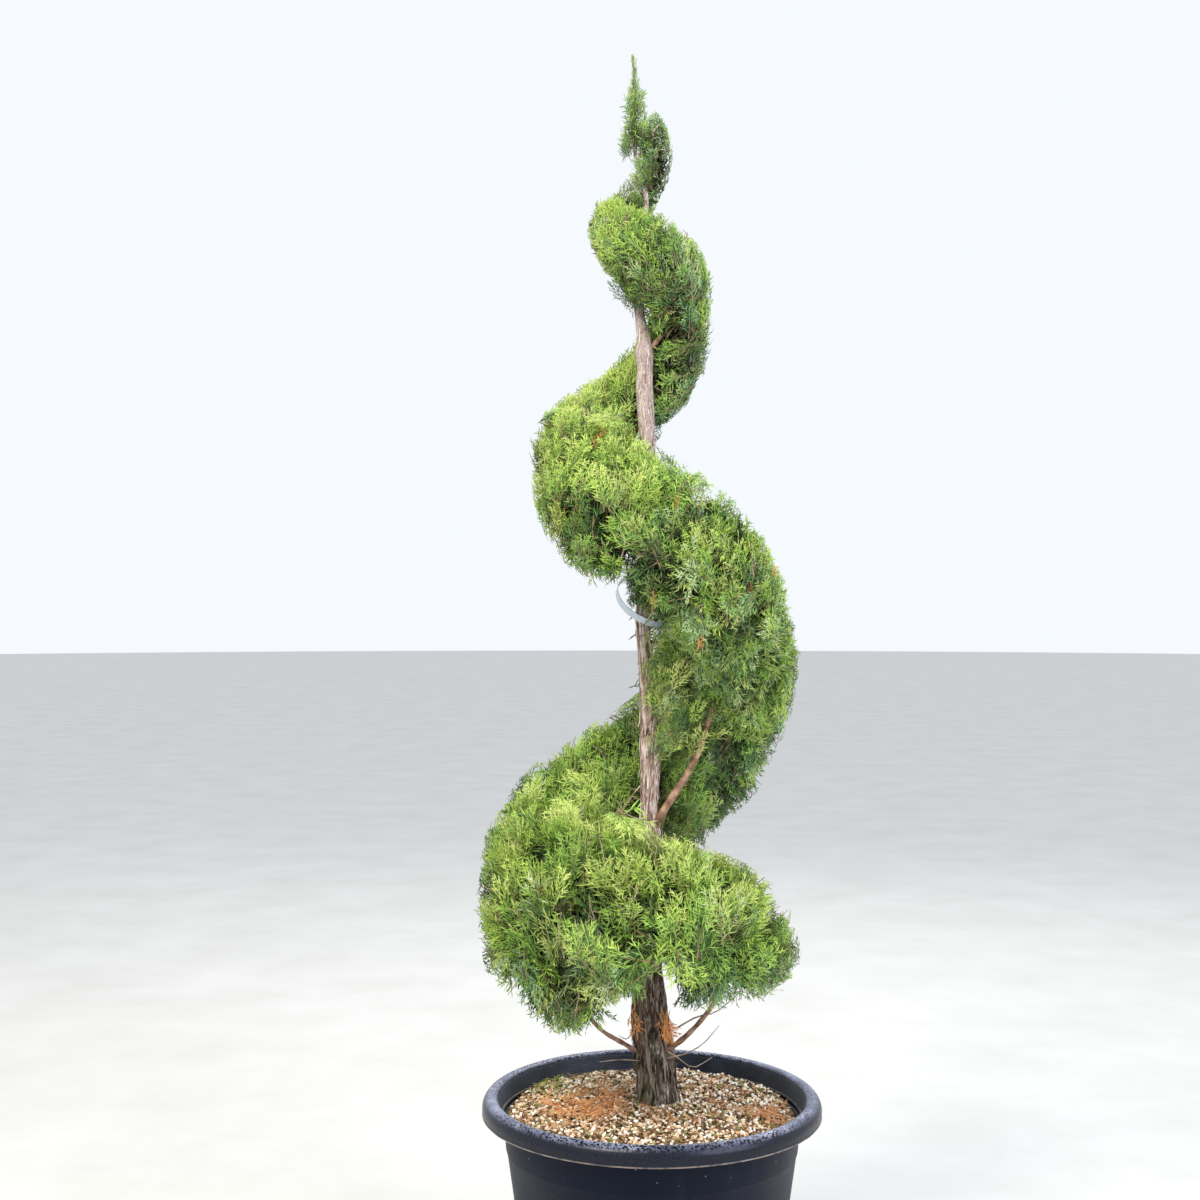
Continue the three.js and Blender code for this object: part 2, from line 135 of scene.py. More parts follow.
# Knots of the trunk: height in millimetres and swelling, as a share of the radius
KNOTS = [[1064, 0.16], [905, 0.22], [1256, 0.1], [505, 0.12], [1752, 0.2], [870, 0.14]]
KNOT_LENGTH = 15

# The boughs, and a slim stem beside the trunk: points in millimetres, then the radii of foot and tip
BOUGHS = {
    "low_left": ([[-8, -4, 508], [-48, -26, 538], [-90, -50, 570], [-126, -68, 617]], [4.6, 3]),
    "low_right": ([[10, -8, 515], [46, -28, 541], [84, -48, 584], [122, -67, 642]], [5.4, 3.4]),
    "mid_right": (
        [[-6, 0, 900], [26, -8, 953], [62, -12, 1010], [90, -14, 1072], [106, -12, 1128]],
        [7.2, 4.6],
    ),
    "mid_back": ([[-6, 6, 880], [20, 34, 924], [34, 82, 980]], [7, 4.5]),
    "top_right": ([[-12, 2, 1752], [14, 10, 1783], [42, 20, 1812]], [5.4, 3.4]),
}
SIDE_STEM = ([[14, -8, 1096], [11, -9, 1138], [4, -12, 1194], [-6, -12, 1262], [-14, -16, 1322]], [3.6, 2])

# Strips of peeling bark: lowest and highest foot in millimetres and how many between, then tints
STRIPS = [[436, 640, 190], [640, 1060, 120], [1060, 1340, 150], [1540, 1840, 130], [1840, 2000, 30]]
STRIP_STEPS = 8
STRIP_TINTS = ["e6d8cf", "b89d90", "8a6b5c", "9a8e82", "4c4238"]

# The clipped ribbon of foliage, in millimetres: turns climbed, x of its axis, radius, underside, top
RIBBON = [
    [-0.24, -8, 256, 674, 780],
    [-0.2, -8, 276, 632, 834],
    [-0.13, -8, 282, 622, 892],
    [0, -8, 293, 640, 936],
    [0.1, -8, 300, 588, 962],
    [0.25, -8, 304, 628, 992],
    [0.5, -7, 293, 780, 1150],
    [0.56, -7, 291, 802, 1212],
    [0.64, -8, 292, 905, 1302],
    [0.75, -9, 268, 1060, 1418],
    [1, -10, 238, 1270, 1592],
    [1.12, -9, 228, 1330, 1642],
    [1.25, -8, 208, 1448, 1684],
    [1.36, -9, 194, 1540, 1720],
    [1.5, -11, 167, 1592, 1815],
    [1.62, -14, 150, 1622, 1880],
    [1.75, -17, 127, 1692, 1950],
    [2, -20, 111, 1822, 2005],
    [2.25, -17, 95, 1872, 2038],
    [2.5, -14, 70, 1972, 2084],
    [2.75, -24, 59, 2044, 2170],
    [3, -31, 26, 2110, 2204],
]

# The section of the ribbon where it droops and where it climbs: shares of the radius and of the height
DROOPING = [
    [0.1, 0.4], [0.36, 0.12], [0.72, 0], [0.94, 0.14], [1, 0.42],
    [0.95, 0.72], [0.78, 0.94], [0.52, 1], [0.24, 0.95], [0.08, 0.7],
]
RISING = [
    [0.04, 0], [0.38, 0.06], [0.7, 0.2], [0.93, 0.4], [1, 0.6],
    [0.95, 0.8], [0.78, 0.95], [0.52, 1], [0.24, 0.97], [0.02, 0.6],
]
DROOP_ENDS = 0.7
RISE_BEGINS = 1.8
FIRST_TURN = -0.24
LAST_TURN = 2.875
RIBBON_END = 2.99
SECTION_MIDDLE = 0.56
QUARTERS = ["front", "left", "back", "right"]

# The leader above the trunk, in millimetres
LEADER_TOP = 2288
LEADER_LEAN = -5.5
LEADER_SWAY = 3
LEADER_SPRAYS = 100

# The tag's loop, in millimetres and degrees: how far its axis leans from the vertical, and which way
TAG_RADIUS = 72
TAG_WIDTH = 13.5
TAG_CENTRE = [8.4, 40.4, 1317.7]
TAG_TILT = 39.6
TAG_TURN = -65.4
TAG_THICKNESS = 1.2

# The strip's end that shows to the right of the trunk, in millimetres: x and height, half-widths, front
TAG_END = [5, 1276]
TAG_END_REACH = [13, 9]
TAG_END_FRONT = -17

# Tints of the foliage: three families from the shaded inside to the new tips, then dead sprays and stems
TINTS = {
    "green": ["253620", "3f5a2f", "5c7e40", "7a9e4b", "94b852", "acc75c", "c3d175"],
    "olive": ["2d3524", "4b5837", "6c7b49", "8b9b57", "a5b363", "b8c571", "cad382"],
    "cool": ["223128", "39553f", "587853", "779866", "95b27b", "b0c58e", "c8d5a4"],
    "spent": ["dc9a5c", "a06f42", "7c6a4b"],
}
FAMILY_SIZE = 7
LEAF_DEAD = 21
LEAF_RUST = 22
STEM = 23

# Fans of scale leaves: how many shapes, shoots on each, twigs on a shoot, the width of a blade and the
# reach of a twig as shares of the length, tint steps from base to tip, and how wide the fan spreads
FANS = {
    "long": (9, 12, 4, 0.026, 0.155, (0, 1, 2), 1),
    "middling": (9, 11, 3, 0.032, 0.19, (0, 1, 2), 1),
    "short": (9, 9, 3, 0.038, 0.23, (0, 1, 2), 1),
    # The fans behind the surface and in the core keep dark tips: painted shade inside the foliage.
    "behind": (6, 9, 2, 0.045, 0.2, (0, 0, 1), 1),
    "core": (5, 5, 2, 0.1, 0.3, (0, 0, 0), 1.4),
    "dead": (5, 6, 2, 0.045, 0.2, (0, 1, 2), 0.8),
    "leader": (6, 7, 2, 0.045, 0.22, (0, 1, 2), 0.75),
    "hanging": (5, 8, 3, 0.036, 0.19, (0, 1, 2), 0.62),
}

# Which fans the clipped surface takes, by the least and greatest length of the sprays in metres
SURFACE_FANS = {"long": (0.074, 1), "middling": (0.06, 0.074), "short": (0, 0.06)}

# How many sprays, bare twigs and boughs there are, and how far tips stand out of the clipped form
OUTER_SPRAYS = 4700
TUFT_SIZE = 6
MID_SPRAYS = 2600
CORE_SPRAYS = 1600
BARE_TWIGS = 270
TAIL_SPRAYS = 120
MASS_BOUGHS = 6
SHEAR_REACH = 0.0066
RAGGED_REACH = 0.014

# Dead sprays on the front: x, height, lean to the side, length and tint
DEAD_SPRIGS = [
    [-82, 1611, 0.5, 62, LEAF_DEAD],
    [-153, 1495, -0.3, 26, LEAF_RUST],
    [39, 1490, 0.4, 30, LEAF_DEAD],
    [1, 1329, 0.25, 34, LEAF_DEAD],
    [202, 1378, -0.2, 28, LEAF_DEAD],
    [77, 1258, 0.3, 30, LEAF_DEAD],
    [163, 1343, 0.4, 30, LEAF_RUST],
    [37, 866, 0.3, 34, LEAF_DEAD],
    [-190, 846, -0.2, 30, LEAF_RUST],
]

# Dead sprays that hang at the foot of the trunk: tip, way and length
HANGING_SPRIGS = [
    [[-34, -46, 550], [-0.05, -0.1, -1], 68],
    [[36, -48, 546], [0.35, -0.2, -1], 66],
    [[17, -52, 552], [-0.3, -0.2, -1], 54],
    [[27, -52, 541], [0.05, -0.2, -1], 60],
    [[50, -44, 560], [0.9, -0.1, -0.8], 54],
]

# Bare twigs on the trunk, round its foot and under the second turn: the points of each, then its
# radius at the root, in millimetres
FOOT_TWIGS = [
    [[[-22, -24, 508], [-58, -36, 513], [-92, -42, 511]], 1.7],
    [[[20, -20, 528], [45, -32, 516], [72, -40, 501], [105, -46, 521]], 1.6],
    [[[24, -22, 512], [60, -38, 525], [90, -48, 546], [116, -54, 578]], 1.7],
    [[[45, -30, 568], [78, -42, 590], [112, -50, 601], [150, -54, 634]], 1.9],
    [[[4, -32, 514], [6, -40, 496]], 2.2],
    [[[-30, -14, 560], [-44, -30, 548], [-58, -38, 556]], 1.5],
    [[[-20, -10, 930], [-44, -18, 941], [-62, -22, 966]], 1.7],
    [[[-20, -10, 990], [-36, -20, 972], [-50, -22, 950]], 1.5],
]

# Sprays beside the trunk: how many, two corners of the box of their tips in millimetres, their length
# in metres, the way they grow, away from the trunk on both its sides, and how many tint levels they have
TRUNK_SPRAYS = [
    [90, [26, 8, 905], [120, 60, 1110], 0.07, [0.55, -0.3, 0.8], 4],
    [170, [17, -66, 1090], [125, 40, 1330], 0.072, [0.42, -0.3, 0.8], 5],
    [36, [13, -62, 1085], [54, -22, 1268], 0.06, [0.2, -0.3, 1], 5],
    [12, [-3, -34, 1135], [16, -24, 1215], 0.042, [0.55, -0.3, 1.1], 4],
    # The next two rows, inside the tag's loop, take only the two darkest tint levels: painted shade.
    [60, [-46, -26, 1300], [26, -10, 1345], 0.05, [0.55, -0.3, -1.2], 2],
    [40, [-40, -34, 1345], [26, -10, 1380], 0.06, [0.55, -0.3, -0.4], 2],
    [18, [2, -62, 838], [42, -14, 884], 0.06, [0.55, -0.3, 0.9], 4],
    [28, [-74, -52, 1880], [-42, -12, 1906], 0.052, [0.6, -0.3, 0.8], 4],
    [26, [-48, -44, 1858], [-20, -12, 1892], 0.05, [0.4, -0.3, 0.9], 4],
    [14, [-18, -48, 1862], [12, -14, 1894], 0.045, [0.1, -0.35, 1], 4],
    [20, [-34, -28, 2056], [2, -8, 2108], 0.036, [0.2, -0.2, 1], 3],
    [9, [-44, -22, 2036], [-22, -6, 2062], 0.034, [0.1, -0.3, 1], 5],
    [14, [-58, -14, 2126], [-38, 8, 2160], 0.036, [0.35, -0.1, 1], 3],
    [18, [-170, -228, 592], [-128, -185, 624], 0.07, [0.25, -0.1, -1], 4],
    [12, [-206, -190, 640], [-168, -150, 668], 0.07, [0.3, -0.1, -1], 4],
    [12, [226, -30, 1285], [244, 30, 1342], 0.08, [0.8, -0.2, 0.6], 4],
]

# Hollows in the front of the clipped form: x, y, height and the three half-widths, in millimetres
HOLLOWS = [
    [-64, -140, 1300, 52, 200, 56],
    [-40, -120, 1368, 23, 185, 17],
    [8, -225, 686, 36, 165, 46],
    [44, -40, 1782, 42, 66, 20],
    [-150, -190, 1478, 22, 60, 20],
    [-92, -190, 1470, 26, 60, 16],
    [10, -215, 1352, 20, 50, 26],
    [-95, -300, 800, 26, 60, 16],
    [60, -300, 742, 18, 50, 22],
    [-215, -215, 775, 26, 60, 22],
]

# The photograph's view: focal length and picture in pixels, the sensor in millimetres and the place
FOCAL_PIXELS = 1644
PICTURE_PIXELS = 1200
SENSOR_WIDTH = 36
CAMERA_PLACE = (-0.0913, -2.914, 1.318)

# Soft lights: place, turn in degrees, size, power and tint
LIGHTS = {
    "key": ((-2.2, -2.6, 4.4), (45, 0, -38), 1.8, 180, "fff4dc"),
    "fill": ((2.8, -2.4, 2.4), (68, 0, 50), 2.4, 105, "f2f6ff"),
    "back": ((0.6, 3.2, 3.6), (-48, 0, -8), 2.0, 60, "ffffff"),
}


# Helpers for colours and materials
def linear(code):
    channels = [int(code[i : i + 2], 16) / 255 for i in (0, 2, 4)]
    return (*[c / 12.92 if c <= 0.04045 else ((c + 0.055) / 1.055) ** 2.4 for c in channels], 1.0)


class Nodes:
    """A material's node tree, with short ways to add nodes and join them."""

    def __init__(self, name):
        self.material = bpy.data.materials.new(name)
        self.material.use_nodes = True
        self.tree = self.material.node_tree
        self.shader = self.tree.nodes["Principled BSDF"]
        self.place = self.tree.nodes.new("ShaderNodeTexCoord").outputs["Object"]

    def add(self, kind, settings=None, **inputs):
        node = self.tree.nodes.new(kind)
        for key, value in (settings or {}).items():
            setattr(node, key, value)
        for key, value in inputs.items():
            self.put(node.inputs[key.replace("_", " ")], value)
        return node

    def put(self, socket, value):
        if isinstance(value, bpy.types.NodeSocket):
            self.tree.links.new(value, socket)
        else:
            socket.default_value = value

    def stretched(self, scale):
        return self.add("ShaderNodeMapping", Vector=self.place, Scale=scale).outputs["Vector"]

    def noise(self, vector, scale, detail, roughness=0.6):
        node = self.add("ShaderNodeTexNoise", Vector=vector, Scale=scale, Detail=detail, Roughness=roughness)
        return node.outputs["Fac"]

    def dots(self, scale, edge, middle):
        """Round dots: 1 in the middle of each and 0 past its edge."""
        node = self.add("ShaderNodeTexVoronoi", Vector=self.place, Scale=scale)
        return self.between(node.outputs["Distance"], edge, middle)

    def ramp(self, value, *stops):
        node = self.add("ShaderNodeValToRGB", Fac=value)
        elements = node.color_ramp.elements
        while len(elements) < len(stops):
            elements.new(0.5)
        for element, (position, tint) in zip(elements, stops):
            element.position = position
            element.color = linear(tint)
        return node.outputs["Color"]

    def blend(self, share, first, second):
        node = self.add("ShaderNodeMix", {"data_type": "RGBA"})
        for index, value in ((0, share), (6, first), (7, second)):
            self.put(node.inputs[index], value)
        return node.outputs[2]

    def combine(self, operation, first, second):
        node = self.add("ShaderNodeMath", {"operation": operation})
        self.put(node.inputs[0], first)
        self.put(node.inputs[1], second)
        return node.outputs[0]

    def between(self, value, low, high, to_low=0.0, to_high=1.0):
        node = self.add("ShaderNodeMapRange", Value=value)
        for index, number in ((1, low), (2, high), (3, to_low), (4, to_high)):
            node.inputs[index].default_value = number
        return node.outputs["Result"]

    def part(self, vector, axis):
        return self.add("ShaderNodeSeparateXYZ", Vector=vector).outputs[axis]

    def relief(self, height, strength, distance):
        bump = self.add("ShaderNodeBump", Height=height, Strength=strength, Distance=distance)
        self.put(self.shader.inputs["Normal"], bump.outputs["Normal"])

    def finish(self, colour, roughness, specular):
        self.put(self.shader.inputs["Base Color"], colour)
        self.put(self.shader.inputs["Roughness"], roughness)
        self.shader.inputs["Specular IOR Level"].default_value = specular
        return self.material


def plain_finish(name, tint, roughness=0.9, specular=0.2):
    return Nodes(name).finish(linear(tint), roughness, specular)


def bark_material(name, high_tints, pale_tints, foot_tints):
    """Fibrous bark: dark at its foot, pale above, flaky near the top, with moss on the left of its foot."""
    made = Nodes(name)
    fibre = made.noise(made.stretched((1, 1, 0.14)), 420, 6, 0.7)
    plates = made.noise(made.stretched((1, 1, 0.28)), 130, 5, 0.65)
    both = made.blend(0.5, fibre, plates)
    flakes = made.noise(made.stretched((1, 1, 0.6)), 330, 5, 0.7)
    broad = made.noise(made.stretched((1, 1, 0.7)), 90, 4, 0.6)
    high = made.ramp(made.blend(0.4, flakes, broad), *zip((0.37, 0.43, 0.51, 0.61), high_tints))
    pale = made.ramp(both, *zip((0.405, 0.465, 0.525, 0.585), pale_tints))
    dark = made.ramp(both, *zip((0.41, 0.47, 0.53, 0.6), foot_tints))
    height = made.part(made.place, "Z")
    wood = made.blend(made.between(height, 0.56, 0.92), dark, pale)
    wood = made.blend(made.between(height, 1.25, 1.55), wood, high)
    moss = made.between(made.noise(made.place, 26, 3), 0.42, 0.62)
    left = made.between(made.part(made.place, "X"), 0.012, -0.03)
    low = made.between(height, 0.6, 0.47)
    cover = made.combine("MULTIPLY", made.combine("MULTIPLY", moss, left), low)
    made.relief(both, 1.0, 0.005)
    return made.finish(made.blend(cover, wood, linear("737a38")), 0.88, 0.25)


def strip_material(name, code):
    made = Nodes(name)
    grain = made.noise(made.stretched((1, 1, 0.1)), 300, 4)
    colour = made.blend(made.between(grain, 0.35, 0.65, 0, 0.5), linear(code), linear("4a3a30"))
    return made.finish(colour, 0.9, 0.2)


def twig_material(name, dark, middle, light):
    made = Nodes(name)
    tone = made.noise(made.place, 60, 3)
    return made.finish(made.ramp(tone, (0.35, dark), (0.5, middle), (0.7, light)), 0.85, 0.25)


def plastic_material():
    """Black plastic with a film of dust, faint streaks and a few pale specks."""
    made = Nodes("black_nursery_plastic")
    film = made.noise(made.place, 7, 5, 0.65)
    grit = made.noise(made.place, 520, 2, 0.6)
    # Faint bluish-grey streaks that run up and down the body.
    streak = made.noise(made.stretched((1, 1, 0.06)), 30, 4)
    body = made.ramp(film, (0.35, "060a14"), (0.6, "0b111f"), (0.75, "131b30"))
    streaked_body = made.blend(made.between(streak, 0.52, 0.78, 0, 0.22), body, linear("2b3042"))
    some = made.between(made.noise(made.place, 31, 2), 0.56, 0.62)
    specks = made.combine("MULTIPLY", made.dots(95, 0.13, 0.05), some)
    made.relief(grit, 0.1, 0.0006)
    made.shader.inputs["Specular Tint"].default_value = linear("c6d1fa")
    colour = made.blend(specks, streaked_body, linear("8e9094"))
    return made.finish(colour, made.between(film, 0.3, 0.7, 0.4, 0.58), 0.22)


def rim_material():
    """The same plastic with a pale film and a painted sheen on its upward faces, beads of water, and a rubbed
    lower edge.
    """
    made = Nodes("wet_rim_plastic")
    film = made.noise(made.place, 16, 5, 0.6)
    patches = made.noise(made.place, 4.5, 3, 0.5)
    beads = made.combine("MAXIMUM", made.dots(190, 0.5, 0.42), made.dots(420, 0.38, 0.3))
    wet = made.combine("MULTIPLY", beads, made.between(patches, 0.36, 0.5))
    # Painted sheen: the upward faces of the roll turn pale lavender, the tone varied by the film noise; the
    # other faces keep the dark plastic.
    painted_sheen = made.ramp(film, (0.3, "4f556d"), (0.5, "7d84a0"), (0.7, "b0b5cc"))
    upwards = made.part(made.add("ShaderNodeNewGeometry").outputs["Normal"], "Z")
    sheen_on_top = made.blend(made.between(upwards, 0.5, 0.97), linear("0c0f19"), painted_sheen)
    dry = made.blend(wet, sheen_on_top, linear("07080b"))
    rubbed = made.between(made.part(made.place, "Z"), 0.4156, 0.4138)
    breaks = made.between(made.noise(made.place, 40, 4), 0.38, 0.55, 0.25, 0.9)
    colour = made.blend(made.combine("MULTIPLY", rubbed, breaks), dry, linear("9b8d82"))
    made.relief(wet, 0.6, 0.0012)
    made.shader.inputs["Specular Tint"].default_value = linear("d7dcff")
    made.shader.inputs["Coat Weight"].default_value = 0.12
    made.shader.inputs["Coat Roughness"].default_value = 0.16
    return made.finish(colour, made.between(film, 0.3, 0.7, 0.3, 0.42), 0.36)


def collar_material():
    made = Nodes("ribbed_collar_plastic")
    bands = {"bands_direction": "Z"}
    ribs = made.add("ShaderNodeTexWave", bands, Vector=made.place, Scale=92, Distortion=0.4).outputs["Fac"]
    dull = made.ramp(made.noise(made.place, 22, 4), (0.35, "1d222c"), (0.65, "353c4c"))
    return made.finish(made.blend(made.between(ribs, 0.3, 0.8, 0, 0.55), dull, linear("0c0f15")), 0.5, 0.4)


def mix_material():
    made = Nodes("damp_compost")
    crumbs = made.noise(made.place, 170, 6, 0.7)
    patches = made.noise(made.place, 14, 3)
    soil = made.ramp(crumbs, (0.35, "2c2118"), (0.5, "6c533b"), (0.62, "b08c69"), (0.75, "d6ba95"))
    mossy = made.between(patches, 0.6, 0.72, 0, 0.6)
    made.relief(crumbs, 1.0, 0.006)
    return made.finish(made.blend(mossy, soil, linear("5a6a30")), 0.95, 0.2)


def tag_material():
    made = Nodes("blank_tag_plastic")
    dust = made.noise(made.place, 120, 4)
    made.relief(dust, 0.05, 0.0004)
    return made.finish(made.ramp(dust, (0.3, "c3d0dc"), (0.7, "dbe5ee")), 0.35, 0.5)


leaf_finishes = []
for family, codes in TINTS.items():
    leaf_finishes += [plain_finish(f"leaf_{family}_{k}", code, 0.62, 0.3) for k, code in enumerate(codes)]
bark = bark_material(
    "juniper_bark",
    ("705549", "a28e87", "b5a39e", "d4c7c3"),
    ("4a3733", "957a70", "cdb6ae", "f0e4df"),
    ("14100d", "40362e", "7c7064", "b8ada1"),
)
plastic = plastic_material()
rim_plastic = rim_material()
collar_plastic = collar_material()
compost = mix_material()
tag_plastic = tag_material()
bark_twig = twig_material("twig_bark", "352d20", "574a37", "807259")
pale_twig = twig_material("weathered_twig", "86705a", "b09c86", "d6cab8")
bough_bark = twig_material("bough_bark", "634a3b", "95745f", "bf9f89")


# Helpers for meshes
def mesh_piece(name, points, faces, finishes, slots=None, smooth=False):
    """One object from arrays of points and of faces that all have the same number of corners."""
    mesh = bpy.data.meshes.new(name)
    corners = faces.shape[1]
    mesh.vertices.add(len(points))
    mesh.vertices.foreach_set("co", np.ascontiguousarray(points, dtype=np.float32).ravel())
    mesh.loops.add(faces.size)
    mesh.loops.foreach_set("vertex_index", faces.astype(np.int32).ravel())
    mesh.polygons.add(len(faces))
    mesh.polygons.foreach_set("loop_start", np.arange(0, faces.size, corners, dtype=np.int32))
    for finish in finishes:
        mesh.materials.append(finish)
    if slots is not None:
        mesh.polygons.foreach_set("material_index", slots.astype(np.int32))
    mesh.polygons.foreach_set("use_smooth", np.full(len(faces), smooth))
    mesh.update(calc_edges=True)
    piece = bpy.data.objects.new(name, mesh)
    bpy.context.scene.collection.objects.link(piece)
    return piece


def dress(piece, slot, *nodes):
    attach(piece, "root")
    if nodes:
        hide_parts(*nodes)


def started(name, primitive, **sizes):
    """A new primitive, with nothing else selected."""
    bpy.ops.object.select_all(action="DESELECT")
    primitive(**sizes)
    piece = bpy.context.object
    piece.name = name
    return piece


def lone(piece):
    bpy.ops.object.select_all(action="DESELECT")
    piece.select_set(True)
    bpy.context.view_layer.objects.active = piece


def settle(piece):
    """Moves the piece's place into its mesh, so that its object sits at the origin."""
    lone(piece)
    bpy.ops.object.transform_apply(location=True, rotation=True, scale=True)


def apply_modifiers(piece):
    lone(piece)
    for modifier in list(piece.modifiers):
        bpy.ops.object.modifier_apply(modifier=modifier.name)


def places_of(items, what):
    """The places of a mesh's vertices or faces, one row each."""
    flat = np.empty(len(items) * 3)
    items.foreach_get(what, flat)
    return flat.reshape(-1, 3)


def value_noise(points, seed):
    """Smooth noise from 0 to 1 at each point, one unit from cell to cell."""
    cell = np.floor(points).astype(np.int64)
    part = points - cell
    part = part * part * (3 - 2 * part)
    total = np.zeros(len(points))
    for corner in range(8):
        step = np.array([corner & 1, (corner >> 1) & 1, corner >> 2])
        at = cell + step
        code = (at[:, 0] * 73856093) ^ (at[:, 1] * 19349663) ^ (at[:, 2] * 83492791) ^ (seed * 2654435761)
        code = (code ^ (code >> 13)) * 1274126177 & 0xFFFFFFFF
        share = np.where(step == 1, part, 1 - part).prod(axis=1)
        total += share * ((code ^ (code >> 16)) & 0xFFFF) / 65535
    return total


def unit(vectors):
    return vectors / np.maximum(np.linalg.norm(vectors, axis=-1, keepdims=True), 1e-9)


def smoothstep(value, low, high):
    t = np.clip((value - low) / (high - low), 0, 1)
    return t * t * (3 - 2 * t)


def circle(angle):
    """Points of the level circle with a radius of one."""
    return np.stack([np.cos(angle), np.sin(angle), np.zeros_like(angle)], axis=-1)


def row_at(table, place):
    """Rows of a table at places between its rows, on smooth curves through them."""
    table = np.asarray(table, float)
    place = np.atleast_1d(np.asarray(place, float))
    last = len(table) - 1
    i = np.clip(np.searchsorted(table[:, 0], place, side="left") - 1, 0, last - 1)
    before, start, end, after = (table[np.clip(i + k, 0, last)] for k in (-1, 0, 1, 2))
    span = (end[:, 0] - start[:, 0])[:, None]
    t = np.clip((place[:, None] - start[:, :1]) / span, 0, 1)
    slope_in = (end - before) / (end[:, :1] - before[:, :1])
    slope_out = (after - start) / (after[:, :1] - start[:, :1])
    a = 2 * t**3 - 3 * t**2 + 1
    b = t**3 - 2 * t**2 + t
    c = t**3 - t**2
    return a * start + b * span * slope_in + (1 - a) * end + c * span * slope_out


def curve_line(path):
    """A smooth line through points in millimetres, with two directions square to it."""
    knots = np.asarray(path, float) * MM
    table = np.column_stack([np.linspace(0, 1, len(knots)), knots])

    def line(share):
        share = np.atleast_1d(share)
        ahead = row_at(table, np.minimum(share + 0.01, 1))[:, 1:]
        behind = row_at(table, np.maximum(share - 0.01, 0))[:, 1:]
        along = unit(ahead - behind)
        side = unit(np.cross(along, np.array([0.31, 0.95, 0.05])))
        return row_at(table, share)[:, 1:], side, np.cross(along, side)

    return line


def nearest(points, targets, at_once=2000):
    """For each point, the index of the closest target."""
    best = np.empty(len(points), int)
    for start in range(0, len(points), at_once):
        part = points[start : start + at_once]
        best[start : start + at_once] = np.linalg.norm(part[:, None] - targets, axis=-1).argmin(axis=1)
    return best


def joined(*groups):
    """Several groups of points, faces and tints as one."""
    offset = 0
    points, faces, slots = [], [], []
    for group_points, group_faces, group_slots in groups:
        points.append(group_points)
        faces.append(group_faces + offset)
        slots.append(group_slots)
        offset += len(group_points)
    return np.concatenate(points), np.concatenate(faces), np.concatenate(slots)


def scattered(shape, links, places, turns, sizes):
    """Copies one small shape to many places, each with its own turn and its size along its three sides."""
    points = np.einsum("nij,nvj->nvi", turns, shape * sizes[:, None]) + places[:, None]
    faces = links + (np.arange(len(places)) * len(shape))[:, None, None]
    return points.reshape(-1, 3), faces.reshape(-1, links.shape[1])


def frames_along(axis, normal, roll):
    """Rotations whose Z is the axis and whose Y faces along the normal, turned by the roll."""
    side = np.cross(normal, axis)
    weak = np.linalg.norm(side, axis=1, keepdims=True) < 0.05
    side = unit(np.where(weak, np.cross(axis, np.array([[0.3, 0.9, 0.2]])), side))
    over = np.cross(axis, side)
    c, s = np.cos(roll)[:, None], np.sin(roll)[:, None]
    first = side * c + over * s
    return np.stack([first, np.cross(axis, first), axis], axis=-1)


def rods(starts, ends, radii_start, radii_end, sag):
    """Three-sided twigs in two lengths each, as arrays for one mesh of four-cornered faces."""
    count = len(starts)
    turns = frames_along(unit(ends - starts), UP, np.zeros(count))
    around = np.einsum("nij,vj->nvi", turns, circle(np.arange(3) * 2 * math.pi / 3))
    middle = (starts + ends) / 2 + sag
    radii_middle = (radii_start + radii_end) / 2
    layers = [
        centre[:, None] + around * radius[:, None, None]
        for centre, radius in ((starts, radii_start), (middle, radii_middle), (ends, radii_end))
    ]
    faces = []
    for layer in (0, 3):
        for k in range(3):
            following = (k + 1) % 3
            faces.append([layer + k, layer + following, layer + 3 + following, layer + 3 + k])
    faces = np.array(faces) + (np.arange(count) * 9)[:, None, None]
    return np.concatenate(layers, axis=1).reshape(-1, 3), faces.reshape(-1, 4)


def sagging(starts, ends, share, rng):
    """How far the middle of each twig lies off its straight line."""
    return rng.normal(0, share, starts.shape) * np.linalg.norm(ends - starts, axis=1)[:, None]


def make_twigs(name, finish, starts, ends, thick, thin, sag=0.0):
    points, faces = rods(starts, ends, thick, thin, sag)
    dress(mesh_piece(name, points, faces, [finish], smooth=True), "bark")


# The sprays: their shapes, and how they are placed and clipped
class Sprays:
    """Arrays that describe many sprays, one row each."""

    def __init__(self, tip, axis, normal, length, tint, turn=None):
        self.tip, self.axis, self.normal = tip, axis, normal
        self.length, self.tint, self.turn = length, tint, turn

    def only(self, chosen):
        return Sprays(**{name: rows[chosen] for name, rows in vars(self).items()})

    def and_also(self, more):
        return Sprays(**{name: np.concatenate([rows, vars(more)[name]]) for name, rows in vars(self).items()})

    def root(self):
        return self.tip - self.axis * self.length[:, None]


class Growth:
    """Blades gathered into one shape: each is a folded kite of two faces."""

    def __init__(self):
        self.points = []
        self.tints = []

    def kite(self, start, end, width, fold, tint):
        """One blade from start to end. The fold is the direction that its ridge rises in."""
        side = unit(np.cross(end - start, fold)) * width * 0.5
        middle = start + (end - start) * 0.35
        drop = fold * width * 0.4
        self.points += [start, middle + side - drop, end, middle - side - drop]
        self.tints += [tint, tint]

    def shape(self):
        faces = np.array([[0, 1, 2], [0, 2, 3]])
        faces = faces[None] + (np.arange(len(self.points) // 4) * 4)[:, None, None]
        return np.array(self.points), np.array(self.tints), faces.reshape(-1, 3)


